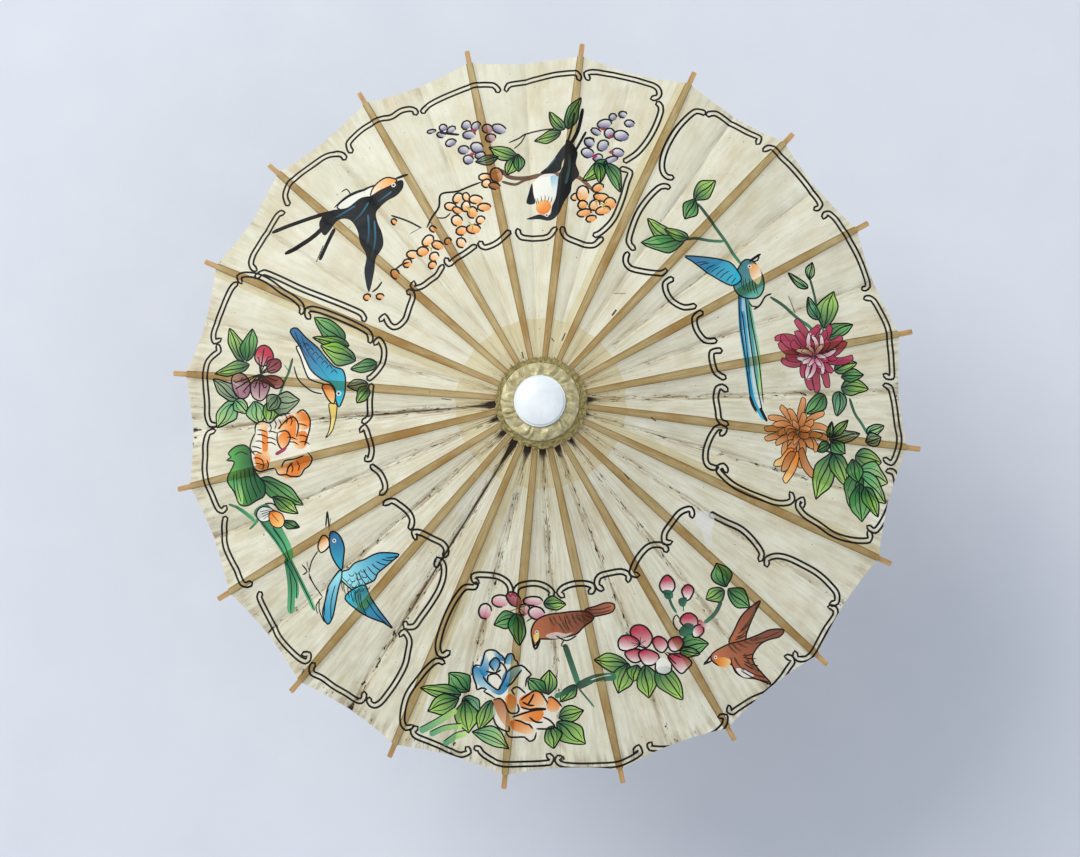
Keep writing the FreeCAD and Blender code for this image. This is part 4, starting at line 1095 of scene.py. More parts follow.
    def left_birds(self) -> None:
        """A kingfisher, a green long-tailed bird and a blue bird in flight."""
        b = self.brush
        b.shape("-122,2 -125,2 -124,-7 -125,-14 -127,-18 -123,-14 -121,-7 -120,1", Tone.YELLOW, width=0.7)
        b.shape("-146,37 -143,30 -140,22 -137,17 -129,14 -123,13 -128,20 -134,28 -140,36", Tone.WHITE)
        b.shape("-150,46 -146,48 -140,42 -133,36 -127,29 -122,24 -117,22 -115,17 -115,9 -117,3 -119,0 "
            "-121,5 -121,10 -124,14 -130,17 -136,22 -140,29 -144,37", Tone.BLUE, (-140, 36), (-118, 12))
        b.shape("-129,13 -124,13 -121,8 -122,2 -125,4 -128,9", Tone.ORANGE)
        b.feathers("-147,46 -143,43", "-138,30 -133,26", 0.5)
        for k in range(7):
            x, y = (-140 + 3 * k, 38 - 2.8 * k)
            b.ink([(x - 2, y - 1), (x, y + 1), (x + 2, y - 1.6)], 0.6)
        b.ink("-147,25 -144,17 -136,10 -129,8", 0.9)
        b.eye((-119, 8), 1.6)
        for line in ("-188,-56 -180,-59 -172,-65", "-184,-57 -177,-62 -171,-67",
                "-175,-71 -170,-66 -166,-58"):
            b.ink(line, 1.6, tone=Tone.TEAL_LEAF)
        b.fill("-172,-62 -160,-75 -152,-86 -149,-90 -147,-85 -152,-74 -158,-64 -164,-56", Tone.TEAL_LEAF)
        for line, width in (("-168,-66 -158,-78 -150,-90", 2.2), ("-151,-88 -149,-104 -150,-121", 4.6),
                ("-150,-88 -143,-102 -135,-119", 2.6), ("-160,-70 -153,-80 -149,-90", 1.6),
                ("-152,-90 -146,-102 -146,-112", 2.6)):
            b.ink(line, width, tone=Tone.TEAL_LEAF)
            b.ink(line, 0.6)
        b.shape("-184,-22 -188,-26 -186,-28 -189,-30 -184,-31 -187,-38 -188,-43 -184,-49 -181,-56 -176,-57 "
            "-170,-54 -165,-51 -165,-44 -170,-38 -173,-30 -174,-24 -178,-21", Tone.DARK_LEAF, (-171, -42),
            (-188, -44))
        b.fill("-187,-40 -183,-40 -179,-48 -179,-56 -182,-54 -184,-48", Tone.PALE_LEAF)
        b.feathers("-184,-38 -178,-36 -172,-34", "-182,-54 -175,-56 -167,-50", 0.6)
        b.ink("-184,-27 -180,-25 -175,-27", 0.7)
        b.petal((-165, -62), 11, 9, Tone.WHITE, (-160, -60), lines=4)
        b.petal((-158, -65), 12, 9, Tone.ORANGE, (-163, -60), lines=1)
        b.ink("-165,-56 -160,-56 -156,-60", 0.9)
        b.shape("-118,-96 -114,-95 -110,-91 -104,-89 -98,-86 -92,-85 -83,-86 -86,-89 -91,-93 -96,-97 "
            "-98,-101 -104,-104 -109,-108 -115,-104 -119,-100", Tone.SKY, (-90, -86), (-112, -104))
        b.shape("-104,-104 -101,-110 -96,-118 -88,-129 -93,-126 -101,-123 -108,-119 -116,-112 -112,-107",
            Tone.BLUE, (-90, -126), (-110, -109))
        b.fill("-106,-105 -101,-110 -103,-117 -109,-117 -111,-110", Tone.TEAL)
        b.shape("-119,-95 -126,-104 -128,-112 -130,-121 -127,-127 -124,-123 -122,-115 -120,-106 -118,-99",
            Tone.SKY, (-129, -124), (-119, -98))
        b.shape("-124,-73 -121,-73 -118,-76 -116,-82 -117,-90 -118,-95 -121,-92 -124,-86 -125,-79",
            Tone.BLUE, (-118, -76), (-120, -94))
        b.shape("-129,-75 -126,-76 -125,-81 -130,-85 -132,-81", Tone.PALE_ORANGE)
        b.feathers("-109,-97 -104,-94 -97,-90 -91,-88", "-106,-105 -98,-101 -93,-95 -84,-87", 0.7)
        b.feathers("-118,-101 -113,-105 -108,-109", "-117,-108 -112,-113 -106,-118", 0.6)
        b.feathers("-107,-108 -103,-112", "-103,-122 -91,-127", 0.6)
        b.feathers("-122,-104 -126,-106", "-125,-124 -129,-122", 0.6)
        for k in range(12):
            x, y = (-112 + 3.6 * (k % 3) + 0.8 * (k // 3), -97.5 + 1.2 * (k % 3) - 3.3 * (k // 3))
            b.ink([(x - 1.7, y + 0.3), (x - 0.8, y - 1.2), (x + 1.0, y - 1.1), (x + 1.8, y + 0.6)], 0.6)
        for k in range(4):
            b.ink([(-118 + 2 * k, -99 - 2 * k), (-115 + 2 * k, -102 - 2 * k), (-113 + 2 * k, -100 - 2 * k)],
                0.5)
        for line, width in (("-127,-70 -126,-61 -125,-70", 1.0), ("-125,-72 -124,-65", 0.9),
                ("-132,-84 -136,-90 -138,-97", 0.8), ("-138,-97 -135,-104 -130,-111", 0.8),
                ("-142,-92 -139,-96 -142,-98", 0.9), ("-139,-90 -138,-95", 0.9),
                ("-138,-99 -135,-104", 1.3), ("-130,-111 -134,-116 -133,-121", 0.7),
                ("-132,-112 -132,-119 -129,-126", 0.7)):
            b.ink(line, width)
        b.eye((-122, -78), 1.3)


@dataclass(frozen=True)
class Skeleton:
    """Where the ribs lie when the umbrella is open, read from the frame, in mm and degrees."""

    count: int
    first_azimuth: float
    pivot_radius: float
    pivot_height: float
    sine: float
    cosine: float
    reach: float

    @classmethod
    def read(cls) -> "Skeleton":
        """Take the rib pivots, the slope and the reach from the joints and the ribs' boxes."""
        places = {j["name"]: Vector(j["pos_m"]) / MM for j in frame["joints"]}
        pivot, knee = places["rib_01_fold"], places["stretcher_01_fold"]
        step = knee - pivot
        flat = math.hypot(step.x, step.y)
        count = sum(name.startswith("rib_") for name in places)
        azimuth = math.degrees(math.atan2(pivot.y, pivot.x))
        nearest = math.radians(azimuth - 360 / count)
        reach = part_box(f"rib_{count:02d}")[1].x / MM / math.cos(nearest)
        return cls(count, azimuth, math.hypot(pivot.x, pivot.y), pivot.z, flat / step.length,
                   -step.z / step.length, reach)

    @property
    def step(self) -> float:
        """Angle between ribs."""
        return 360 / self.count

    def azimuth(self, number: int) -> float:
        """Azimuth of a rib, by its number from 1."""
        return self.first_azimuth + self.step * (number - 1)

    def directions(self, number: int) -> tuple[Vector, Vector]:
        """The rib's tangential direction and its outward normal."""
        a = math.radians(self.azimuth(number))
        return (Vector((-math.sin(a), math.cos(a), 0)),
                Vector((self.cosine * math.cos(a), self.cosine * math.sin(a), self.sine)))

    def pivot(self, number: int) -> Vector:
        """The rib's pivot, in metres."""
        a = math.radians(self.azimuth(number))
        reach = self.pivot_radius
        return Vector((reach * math.cos(a), reach * math.sin(a), self.pivot_height)) * MM


def soft_step(value: np.ndarray) -> np.ndarray:
    """Smooth rise from 0 to 1 as the value goes from 0 to 1."""
    t = np.clip(value, 0, 1)
    return t * t * (3 - 2 * t)


def new_object(name: str, points: np.ndarray, faces: list, finish: bpy.types.Material) -> bpy.types.Object:
    """Make a smooth-shaded mesh object.

    Args:
        name: Its name.
        points: Corners in metres.
        faces: Corner numbers of each face.
        finish: Its material.

    Returns:
        The object, linked to the scene.
    """
    mesh = bpy.data.meshes.new(name)
    mesh.from_pydata([tuple(p) for p in points], [], faces)
    mesh.polygons.foreach_set("use_smooth", [True] * len(mesh.polygons))
    mesh.materials.append(finish)
    made = bpy.data.objects.new(name, mesh)
    bpy.context.scene.collection.objects.link(made)
    return made


@dataclass
class Canopy:
    """The painted paper: a strip glued along every rib, and a half bay on each side, out to the fold."""

    ribs: Skeleton
    bare_tip: float = 9.5
    lift: float = 2.2
    hem_hollow: float = 2.6
    inner_radius: float = 16.5
    ridge_height: float = 0.35
    ridge_rise: float = 0.3
    ridge_foot: float = 1.0
    fold_depth: float = 1.7
    fold_width: float = 3.4
    sag: float = 1.5
    wrinkle: float = 0.62
    disc_radius: float = 50.0
    seam_ribs: tuple[int, ...] = (4, 9, 14, 19)
    seam_overlap: float = 4.2
    lattice: float = 5.0
    strip_foot: float = 2.09
    strip_flare: float = 0.0142
    fold_lean: float = 8.0
    fold_keep: float = 0.03
    # Per fold, by azimuth in degrees: how strongly grime shows along it, and how far from the hub the painted
    # shade in its valley reaches.
    fold_dirt_and_shade: dict[int, float] = field(default_factory=lambda: {
        21: 0.55, 39: 0.5, 57: 0.4, 75: 0.25, 93: 0.2, 111: 0.3, 129: 0.35, 147: 0.35, 165: 0.5, 183: 0.95,
        201: 0.7, 219: 0.75, 237: 1.0, 255: 0.85, 273: 0.8, 291: 0.8, 309: 0.75, 327: 0.6, 345: 0.65, 3: 0.8})

    @property
    def hem_radius(self) -> float:
        """Plan radius of the paper's edge on a rib."""
        return self.ribs.reach - self.bare_tip * self.ribs.sine + self.lift * self.ribs.cosine

    def bay_angle(self, plan: np.ndarray) -> np.ndarray:
        """Angle from the nearest fold line, in radians."""
        turn = np.degrees(np.arctan2(plan[:, 1], plan[:, 0])) - self.ribs.first_azimuth
        return np.radians(turn % self.ribs.step - self.ribs.step / 2)

    def band(self, radius: np.ndarray | float) -> np.ndarray:
        """Half the width of the rib that shows through the paper, at this plan radius."""
        return np.interp(radius, [16, 85, 175, 225], [1.5, 2.7, 2.7, 1.9])

    def strip(self, radius: np.ndarray | float) -> np.ndarray:
        """Half the width of the paper glued to a rib: so wide that the pleats meet between closed ribs."""
        return self.strip_foot + self.strip_flare * radius

    def crease_width(self, radius: np.ndarray | float) -> np.ndarray:
        """How far a fold's slopes reach to each side, at this plan radius."""
        return np.minimum(self.fold_width, 0.4 * radius * math.sin(math.radians(self.ribs.step / 2)))

    def drift(self, plan: np.ndarray) -> np.ndarray:
        """Slow change from fold to fold and along each, from about -1 to 1."""
        return np.array([noise.noise(Vector((x / 38, y / 38, 5.5))) for x, y in plan]) * 2

    def crumple(self, plan: np.ndarray) -> np.ndarray:
        """Wrinkles of the paper, from about -1 to 1."""
        found = []
        for x, y in plan:
            broad = noise.noise(Vector((x / 30, y / 30, 3.1)))
            fine = noise.noise(Vector((x / 12, y / 12, 8.7)))
            creased = 1 - 2 * abs(noise.noise(Vector((x / 21 + 4, y / 21, 1.9))))
            nicked = 1 - 2 * abs(noise.noise(Vector((x / 9 + 2, y / 9, 6.3))))
            found.append(0.8 * broad + 0.35 * fine + 0.8 * (creased - 0.6) + 0.3 * (nicked - 0.6))
        return np.array(found)

    def surface(self, plan: np.ndarray) -> np.ndarray:
        """Places on the open canopy above plan points.

        Args:
            plan: Plan points in mm, one row each.

        Returns:
            Points in metres, one row each.
        """
        ribs, half = self.ribs, math.radians(self.ribs.step / 2)
        radius = np.hypot(plan[:, 0], plan[:, 1])
        angle = self.bay_angle(plan)
        rho = radius * np.cos(angle) / math.cos(half)
        along = (rho - ribs.pivot_radius - self.lift * ribs.cosine) / ribs.sine
        height = ribs.pivot_height - along * ribs.cosine + self.lift * ribs.sine
        beside = radius * np.sin(half - np.abs(angle))
        share = radius / self.hem_radius
        ridge = self.ridge_height + self.ridge_rise * soft_step((radius - 26) / 20)
        height += ridge * soft_step((self.band(radius) + self.ridge_foot - beside) / self.ridge_foot)
        crease = np.exp(-np.abs(radius * np.sin(angle)) / self.crease_width(radius))
        height -= self.fold_depth * crease * soft_step((radius - 20) / 60) * (1 + 0.45 * self.drift(plan))
        height -= self.sag * (1 - (angle / half) ** 2) * share ** 2
        loose = soft_step((beside - 3.0) / 5) * soft_step((radius - 24) / 16)
        height += self.wrinkle * self.crumple(plan) * loose * (1 + 1.3 * soft_step((radius - 190) / 25))
        return np.column_stack([plan, height]) * MM

    def ring(self, radius: float, hollow: float, pieces: int) -> np.ndarray:
        """A closed line of chords from rib to rib, each hollowed towards the hub."""
        ribs, found = self.ribs, []
        half = math.radians(ribs.step / 2)
        for bay in range(ribs.count):
            middle = math.radians(ribs.azimuth(bay + 1)) + half
            out = np.array([math.cos(middle), math.sin(middle)])
            side = np.array([-math.sin(middle), math.cos(middle)])
            for k in range(pieces):
                s = 2 * k / pieces - 1
                found.append(out * (radius * math.cos(half) - hollow * (1 - s * s))
                             + side * radius * math.sin(half) * s)
        return np.array(found)

    def structure(self) -> tuple[list[np.ndarray], list[np.ndarray]]:
        """Lines that the mesh has to follow: loops, and open lines."""
        ribs = self.ribs
        loops = [self.ring(self.hem_radius, self.hem_hollow, 12), self.ring(self.inner_radius, 0, 4),
                 self.ring(self.disc_radius, 0.8, 8)]
        lines = []
        radii = np.arange(self.inner_radius - 2, 225, 7.0)
        for half_bay in range(2 * ribs.count):
            a = math.radians(ribs.first_azimuth + half_bay * ribs.step / 2)
            out, side = np.array([math.cos(a), math.sin(a)]), np.array([-math.sin(a), math.cos(a)])
            offsets = [0 * radii]
            if half_bay % 2:
                offsets += [s * share * self.crease_width(radii) for s in (-1, 1) for share in (0.4, 1.0)]
            else:
                number = half_bay // 2 + 1
                offsets += [s * (self.band(radii) + extra) for s in (-1, 1)
                            for extra in (-0.8, 0, self.ridge_foot)]
                offsets += [s * self.strip(radii) for s in (-1, 1)]
                if number in self.seam_ribs:
                    offsets.append(self.band(radii) + self.seam_overlap)
            lines += [out * radii[:, None] + side * offset[:, None] for offset in offsets]
        return loops, lines

    def triangles(self, washes: list[Wash]) -> tuple[np.ndarray, np.ndarray]:
        """Cut the sheet along every painted outline.

        Args:
            washes: The painted shapes.

        Returns:
            Plan points, and the corner numbers of each triangle inside the hem.
        """
        loops, lines = self.structure()
        points: list[np.ndarray] = []
        edges: list[tuple[int, int]] = []
        total = 0
        for line, closed in [(w.outline, True) for w in washes] + [(p, True) for p in loops] + \
                            [(p, False) for p in lines]:
            count = len(line)
            points.append(line)
            edges += [(total + k, total + (k + 1) % count) for k in range(count if closed else count - 1)]
            total += count
        for radius in np.arange(self.inner_radius + 3, self.hem_radius - 1, self.lattice):
            share = 2 * math.pi * radius / self.lattice / 2 / self.ribs.count
            count = 2 * self.ribs.count * max(1, round(share))
            turn = 2 * math.pi * (np.arange(count) + 0.5) / count + math.radians(self.ribs.first_azimuth)
            points.append(np.column_stack([radius * np.cos(turn), radius * np.sin(turn)]))
        flat = [Vector(p) for p in np.concatenate(points)]
        spots, _, faces, *_ = delaunay_2d_cdt(flat, edges, [], 0, 0.004, False)
        plan, tri = np.array([tuple(p) for p in spots]), np.array([tuple(f) for f in faces])
        a, b, c = (plan[tri[:, k]] for k in range(3))
        area = ((b - a)[:, 0] * (c - a)[:, 1] - (b - a)[:, 1] * (c - a)[:, 0]) / 2
        tri[area < 0] = tri[area < 0][:, ::-1]
        centre = (a + b + c) / 3
        kept = (np.abs(area) > 1e-5) & inside(centre, loops[0]) & ~inside(centre, loops[1])
        return plan, tri[kept]

    def painted(self, plan: np.ndarray, tri: np.ndarray, washes: list[Wash]) -> tuple[np.ndarray, np.ndarray]:
        """Lay the washes over the triangles.

        Args:
            plan: Plan points.
            tri: Corner numbers of the triangles.
            washes: The painted shapes, the last on top.

        Returns:
            Linear colour and cover at each triangle's corners.
        """
        centre = plan[tri].mean(1)
        colour, cover = np.ones((len(tri), 3, 3)), np.zeros((len(tri), 3, 1))
        order = np.argsort(centre[:, 0])
        xs = centre[order, 0]
        for wash in washes:
            low, high = wash.outline.min(0), wash.outline.max(0)
            near = order[np.searchsorted(xs, low[0]):np.searchsorted(xs, high[0])]
            near = near[(centre[near, 1] >= low[1]) & (centre[near, 1] <= high[1])]
            hit = near[inside(centre[near], wash.outline)]
            if not len(hit):
                continue
            fresh, strength = wash.laid(plan[tri[hit]].reshape(-1, 2))
            fresh, strength = fresh.reshape(-1, 3, 3), strength.reshape(-1, 3, 1)
            left = cover[hit] * (1 - strength)
            colour[hit] = (colour[hit] * left + fresh * strength) / (left + strength)
            cover[hit] = left + strength
        return colour, cover

    def ground(self, plan: np.ndarray, tri: np.ndarray) -> np.ndarray:
        """What backs the paper at each corner, as red, green and blue: a rib, weaker at its edges where the shader
        lays painted shade; a second layer; grime, with painted shade deep in the folds near the hub.
        """
        half = math.radians(self.ribs.step / 2)
        centre, corners = plan[tri].mean(1), plan[tri].reshape(-1, 2)
        radius = np.hypot(centre[:, 0], centre[:, 1])
        beside = radius * np.sin(half - np.abs(self.bay_angle(centre)))
        rib = beside < self.band(radius)
        double = inside(centre, self.ring(self.disc_radius, 0.8, 8))
        for number in self.seam_ribs:
            a = math.radians(self.ribs.azimuth(number))
            off = -centre[:, 0] * math.sin(a) + centre[:, 1] * math.cos(a)
            ahead = centre[:, 0] * math.cos(a) + centre[:, 1] * math.sin(a) > 0
            double |= ahead & (off > 0) & (off < self.band(radius) + self.seam_overlap)
        r = np.hypot(corners[:, 0], corners[:, 1])
        turn = np.degrees(np.arctan2(corners[:, 1], corners[:, 0])) % 360
        angle = self.bay_angle(corners)
        folds = sorted((k % 360, v) for k, v in self.fold_dirt_and_shade.items())
        which = [k for k, _ in folds]
        amount = np.interp(turn, [which[-1] - 360, *which, which[0] + 360],
                           [folds[-1][1], *(v for _, v in folds), folds[0][1]])
        aside = np.abs(r * np.sin(angle))
        in_fold = np.exp(-(aside / 2.2) ** 2)
        near_hub = np.exp(-((r - 24) / 12) ** 2)
        dirt_and_shade = amount * in_fold * np.interp(r, [20, 60, 150, 216], [0.6, 0.8, 0.7, 0.5])
        dirt_and_shade += 0.3 * near_hub + 0.26 * amount + 0.35 * np.exp(-((r - 211) / 4) ** 2) * amount
        # Painted shade: near the hub each fold valley goes almost black, out to a radius that grows with the
        # fold's amount.
        tip = 24 + 13 * amount ** 2
        dirt_and_shade += 1.1 * amount * in_fold * np.clip((tip - r) / 7, 0, 1) * (aside < 2.4)
        # Red falls from 1 at the rib's middle to 0.5 at its edges, where the shader lays painted shade.
        corner_side = r * np.sin(half - np.abs(angle))
        middle = 1 - 0.5 * np.clip(corner_side / self.band(r), 0, 1) ** 2
        found = np.zeros((len(tri), 3, 4))
        found[..., 0] = np.where(rib[:, None], middle.reshape(-1, 3), 0)
        found[..., 1], found[..., 3] = double[:, None], 1
        found[..., 2] = np.clip(dirt_and_shade, 0, 1).reshape(-1, 3)
        return found

    def build(self, finish: bpy.types.Material) -> None:
        """Make the half bays, dress them and hang each on its rib.

        Args:
            finish: The painted paper's material.
        """
        washes = Artwork().paint()
        plan, tri = self.triangles(washes)
        colour, cover = self.painted(plan, tri, washes)
        ground = self.ground(plan, tri)
        places = self.surface(plan)
        LOG.info("canopy: %d washes, %d triangles", len(washes), len(tri))
        centre = plan[tri].mean(1)
        turn = np.degrees(np.arctan2(centre[:, 1], centre[:, 0])) - self.ribs.first_azimuth
        sector = (turn % 360 // (self.ribs.step / 2)).astype(int)
        radius = np.hypot(centre[:, 0], centre[:, 1])
        beside = radius * np.sin(math.radians(self.ribs.step / 2) - np.abs(self.bay_angle(centre)))
        glued = beside < self.strip(radius)
        halves = 2 * self.ribs.count
        sector[glued] = halves + (sector[glued] + 1) // 2 % self.ribs.count
        for part in range(halves + self.ribs.count):
            chosen = np.flatnonzero(sector == part)
            half_bay = part if part < halves else 2 * (part - halves)
            number = (half_bay + 1) // 2 % self.ribs.count + 1
            side = 0 if part >= halves else 1 if half_bay % 2 == 0 else -1
            used, corners = np.unique(tri[chosen], return_inverse=True)
            corners = corners.reshape(-1, 3)
            name = f"painted_paper_{number:02d}_{('strip', 'right', 'left')[side]}"
            piece = new_object(name, places[used], corners.tolist(), finish)
            mesh = piece.data
            flat = plan[tri[chosen]].reshape(-1, 2)
            middle = math.radians(self.ribs.first_azimuth + (half_bay + 0.5) * self.ribs.step / 2)
            away = np.arctan2(flat[:, 1], flat[:, 0]) - middle
            away = (away + math.pi) % (2 * math.pi) - math.pi
            polar = np.column_stack([(middle + away) / (2 * math.pi), np.hypot(*flat.T) / self.hem_radius])
            for layer, values in (("plan", flat / OILED_PAPER.span_mm + 0.5), ("polar", polar)):
                mesh.uv_layers.new(name=layer).uv.foreach_set("vector", values.astype(np.float32).ravel())
            layers = (("paint", np.concatenate([colour[chosen], cover[chosen]], 2)),
                      ("cover", np.repeat(cover[chosen], 4, 2)), ("ground", ground[chosen]))
            for layer, values in layers:
                made = mesh.color_attributes.new(name=layer, type="FLOAT_COLOR", domain="CORNER")
                values = values.copy()
                values[..., 3] = 1
                made.data.foreach_set("color", values.astype(np.float32).ravel())
            self.hang(piece, number, side)

    def hang(self, piece: bpy.types.Object, number: int, side: int) -> None:
        """Fix a piece of the canopy to its rib.

        Args:
            piece: The strip glued along the rib, or a half bay beside it.
            number: Its rib.
            side: 0 for the strip, 1 anticlockwise of the rib, -1 on the other side.
        """
        body = f"rib_{number:02d}"
        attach(piece, body)
        if number % 2:
            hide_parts(f"paper_panel_{number:02d}")
        if side == 0:
            return
        width = self.hem_radius * math.sin(math.radians(self.ribs.step / 2))
        half_bay = width * (self.hem_radius ** 2 - self.inner_radius ** 2) / 2
        half_bay = half_bay / self.hem_radius / self.ribs.sine
        tangent, normal = self.ribs.directions(number)
        tangent, along = tangent * side, tangent.cross(normal)
        foot = float(self.strip(self.ribs.pivot_radius))
        anchor = self.ribs.pivot(number) + (normal * self.lift + tangent * foot) * MM
        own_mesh(piece)


@dataclass
class Collar:
    """Gathered gold paper over the top of the canopy: a flat ring and ten crumpled, two-tiered gathers."""

    ribs: Skeleton
    ring_inner: float = 5.6
    ring_outer: float = 15.4
    upper: tuple[Point, ...] = ((14.6, -0.25), (16.2, 0.3), (18.4, 0.5), (20.2, -0.3), (21.6, -1.6),
                                (22.3, -2.8), (22.2, -3.6))
    lower: tuple[Point, ...] = ((21.6, -3.7), (22.9, -3.9), (24.2, -4.4), (25.4, -4.9), (26.0, -5.3))
    tucks: int = 17
    tuck_depth: float = 2.2
    gather_keep: float = 0.74
    gather_length: float = 14.5

    def upper_point(self, azimuth: float, share: float) -> Point:
        """Radius and height on the upper tier, whose tucks lie over one another and end in a smooth lip."""
        wander = noise.noise(Vector((3 * math.cos(azimuth), 3 * math.sin(azimuth), 2.0)))
        phase = (self.tucks * azimuth / (2 * math.pi) + 1.1 * wander + 0.9 * share) % 1
        size = 1 + 0.9 * noise.noise(Vector((6 * math.cos(azimuth), 6 * math.sin(azimuth), 9.0)))
        tuck = phase / 0.72 if phase < 0.72 else (1 - phase) / 0.28
        depth = self.tuck_depth * size * math.sin(math.pi * min(1.0, share * 1.25)) ** 0.7
        radius, height = self.along(self.upper, share)
        return radius + 0.25 * wander, height + depth * (tuck - 0.75)

    def lower_point(self, azimuth: float, share: float) -> Point:
        """Radius and height on the lower tier, crumpled and wider on the side where it has slipped out."""
        spot = Vector((11 * math.cos(azimuth), 11 * math.sin(azimuth), 4 * share))
        crush, fine = noise.noise(spot), noise.noise(spot * 2.3)
        slip = 0.7 * math.cos(azimuth - math.radians(-30))
        radius, height = self.along(self.lower, share)
        return radius + (slip + 1.5 * crush) * share, max(height + 0.9 * crush + 0.6 * abs(fine), -5.2)

    @staticmethod
    def along(profile: Sequence[Point], share: float) -> Point:
        """Radius and height at this share of a profile."""
        steps = np.linspace(0, 1, len(profile))
        return float(np.interp(share, steps, [p[0] for p in profile])), \
            float(np.interp(share, steps, [p[1] for p in profile]))

    def build(self, finish: bpy.types.Material, soiled_and_shaded: bpy.types.Material) -> None:
        """Make the ring under the cap and the gathers around it.

        Args:
            finish: The gold paper.
            soiled_and_shaded: The gold paper below the lip.
        """
        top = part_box("gold_collar")[1].z / MM + 0.1
        turns, rows = 120, 5
        points, faces = [], []
        for j in range(rows + 1):
            radius = self.ring_inner + (self.ring_outer - self.ring_inner) * j / rows
            for i in range(turns):
                a = 2 * math.pi * i / turns
                lift = -0.35 * (j / rows) ** 3 + 0.05 * math.sin(30 * a) * j / rows
                points.append((radius * math.cos(a) * MM, radius * math.sin(a) * MM, (top + lift) * MM))
        for j in range(rows):
            faces += [(j * turns + i, (j + 1) * turns + i, (j + 1) * turns + (i + 1) % turns,
                       j * turns + (i + 1) % turns) for i in range(turns)]
        ring = new_object("collar_ring", np.array(points), faces, finish)
        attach(ring, "root")
        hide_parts("gold_collar")
        for number in range(1, self.ribs.count + 1, 2):
            self.gather(number, top, finish, soiled_and_shaded)
        LOG.info("collar: a ring and %d gathers", self.ribs.count // 2)

    def gather(self, number: int, top: float, finish: bpy.types.Material, soiled_and_shaded: bpy.types.Material) -> None:
        """Make the crumpled gather over one rib, as wide as two bays.

        Args:
            number: The rib that carries it.
            top: Height of the collar's top, in mm.
            finish: The gold paper.
            soiled_and_shaded: The gold paper below the lip.
        """
        across, down, under = 90, 22, 16
        start = math.radians(self.ribs.azimuth(number) - self.ribs.step)
        span = math.radians(2 * self.ribs.step)
        points = []
        for j in range(down + under + 2):
            for i in range(across + 1):
                a = start + span * i / across
                radius, height = self.upper_point(a, j / down) if j <= down else \
                    self.lower_point(a, (j - down - 1) / under)
                points.append((radius * math.cos(a) * MM, radius * math.sin(a) * MM, (top + height) * MM))
        row = across + 1
        faces = [(j * row + i, (j + 1) * row + i, (j + 1) * row + i + 1, j * row + i + 1)
                 for j in range(down + under + 1) for i in range(across)]
        piece = new_object(f"collar_gather_{number:02d}", np.array(points), faces, finish)
        piece.data.materials.append(soiled_and_shaded)
        # Rows under the lip take the darker paper: painted shade under the upper tier, with some soiling.
        below = [int(k // across > down) for k in range(len(faces))]
        piece.data.polygons.foreach_set("material_index", below)
        body = f"rib_{number:02d}"
        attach(piece, body)
        tangent, _ = self.ribs.directions(number)
        tuple(self.ribs.pivot(number))
        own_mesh(piece)


@dataclass
class Hardware:
    """The bamboo, wood, plastic and wire pieces that keep the frame's own shapes."""

    finishes: dict[str, Finish] = field(default_factory=lambda: {
        "bamboo": BAMBOO, "turned_wood": VARNISHED_WOOD, "lacquered_wood": LACQUERED_WOOD,
        "hub_wood": HUB_WOOD, "cap_plastic": CAP_PLASTIC, "steel_wire": STEEL_WIRE})

    def dress(self) -> None:
        """Give each shown piece the finish of its material slot."""
        made = {slot: finish.build() for slot, finish in self.finishes.items()}
        slots = {s["node"]: s["material_slot"] for s in frame["record"]["subparts"]}
        for name, node in frame["nodes"].items():
            if slots[name] in made:
                node.data.materials.clear()
                node.data.materials.append(made[slots[name]])
        LOG.info("hardware: %d finishes", len(made))


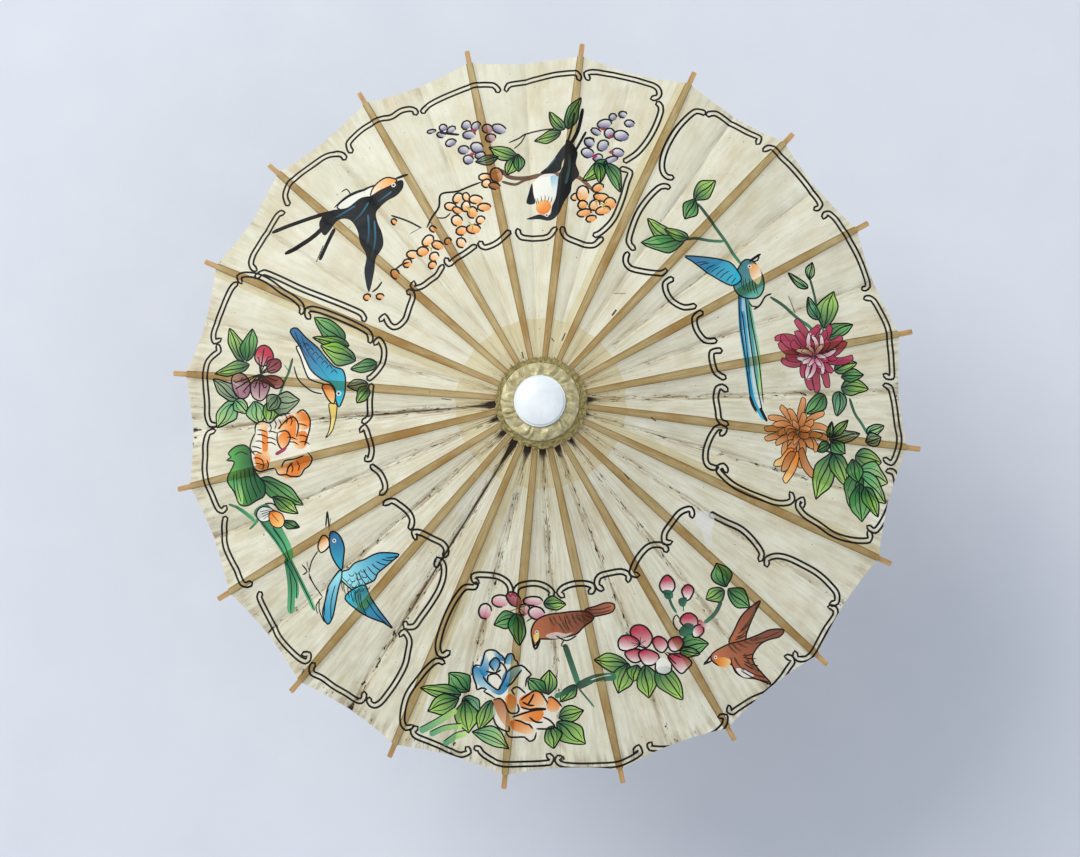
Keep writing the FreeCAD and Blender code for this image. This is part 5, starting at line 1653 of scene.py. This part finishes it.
@dataclass
class Studio:
    """Pale floor, soft light and the camera, looking almost straight down on the cap."""

    azimuth: float = 25.0
    elevation: float = 85.2
    distance: float = 1.1
    view_width: float = 0.648
    aim: Point = (-2.2, -10.5)
    sensor: float = 36.0
    sky_tint: str = "#e8eef8"
    sky_strength: float = 0.64
    floor_reach: float = 8.0

    def build(self, rim_height: float) -> None:
        """Set up the floor, the lights and the camera.

        Args:
            rim_height: Height of the rib tips, in mm.
        """
        scene = bpy.context.scene
        az, el = math.radians(self.azimuth), math.radians(self.elevation)
        back = Vector((math.sin(az) * math.cos(el), -math.cos(az) * math.cos(el), math.sin(el)))
        target = Vector((self.aim[0], self.aim[1], rim_height)) * MM
        lens = bpy.data.cameras.new("camera")
        lens.sensor_width = self.sensor
        lens.lens = self.sensor * self.distance / self.view_width
        camera = bpy.data.objects.new("camera", lens)
        scene.collection.objects.link(camera)
        right = Vector((0, 1, 0)).cross(back).normalized()
        up = back.cross(right)
        turn = Matrix((right, up, back)).transposed().to_4x4()
        camera.matrix_world = Matrix.Translation(target + back * self.distance) @ turn
        scene.camera = camera
        self.floor(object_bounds()[0][2] - 0.001)
        for name, place, size, power, tint in (("key_light", (-2.0, 1.9, 2.9), 2.2, 112.0, "#fffdf8"),
                                               ("fill_light", (1.1, -0.7, 1.7), 1.6, 6.0, "#f2f6ff")):
            light = bpy.data.lights.new(name, "AREA")
            light.shape, light.size, light.energy = "SQUARE", size, power
            light.color = linear(tint)
            lamp = bpy.data.objects.new(name, light)
            aimed = Vector(place).to_track_quat("Z", "Y").to_matrix().to_4x4()
            lamp.matrix_world = Matrix.Translation(place) @ aimed
            scene.collection.objects.link(lamp)
        world = bpy.data.worlds.new("studio")
        world.use_nodes = True
        background = world.node_tree.nodes["Background"]
        background.inputs["Color"].default_value = rgba(self.sky_tint)
        background.inputs["Strength"].default_value = self.sky_strength
        scene.world = world
        scene.view_settings.view_transform = "Standard"

    def floor(self, height: float) -> None:
        """A wide pale board under the umbrella."""
        pieces = 8
        spots = np.linspace(-self.floor_reach, self.floor_reach, pieces + 1)
        points = np.array([(x, y, height) for y in spots for x in spots])
        row = pieces + 1
        faces = [(j * row + i, j * row + i + 1, (j + 1) * row + i + 1, (j + 1) * row + i)
                 for j in range(pieces) for i in range(pieces)]
        board = Finish("matt_white_board", "#d6dae2", "#d2d7e0", 0.8, 60.0, 0.05)
        new_object("floor", points, faces, board.build())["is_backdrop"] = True


def main() -> None:
    """Build every sub-assembly in order and report it."""
    logging.basicConfig(level=logging.INFO, format="%(message)s")
    ribs = Skeleton.read()
    Studio().build(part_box("rib_01")[0].z / MM)
    Hardware().dress()
    Canopy(ribs).build(OILED_PAPER.build())
    Collar(ribs).build(GOLD_PAPER.build(), SHADED_SOILED_GOLD.build())


if __name__ == "__main__":
    main()
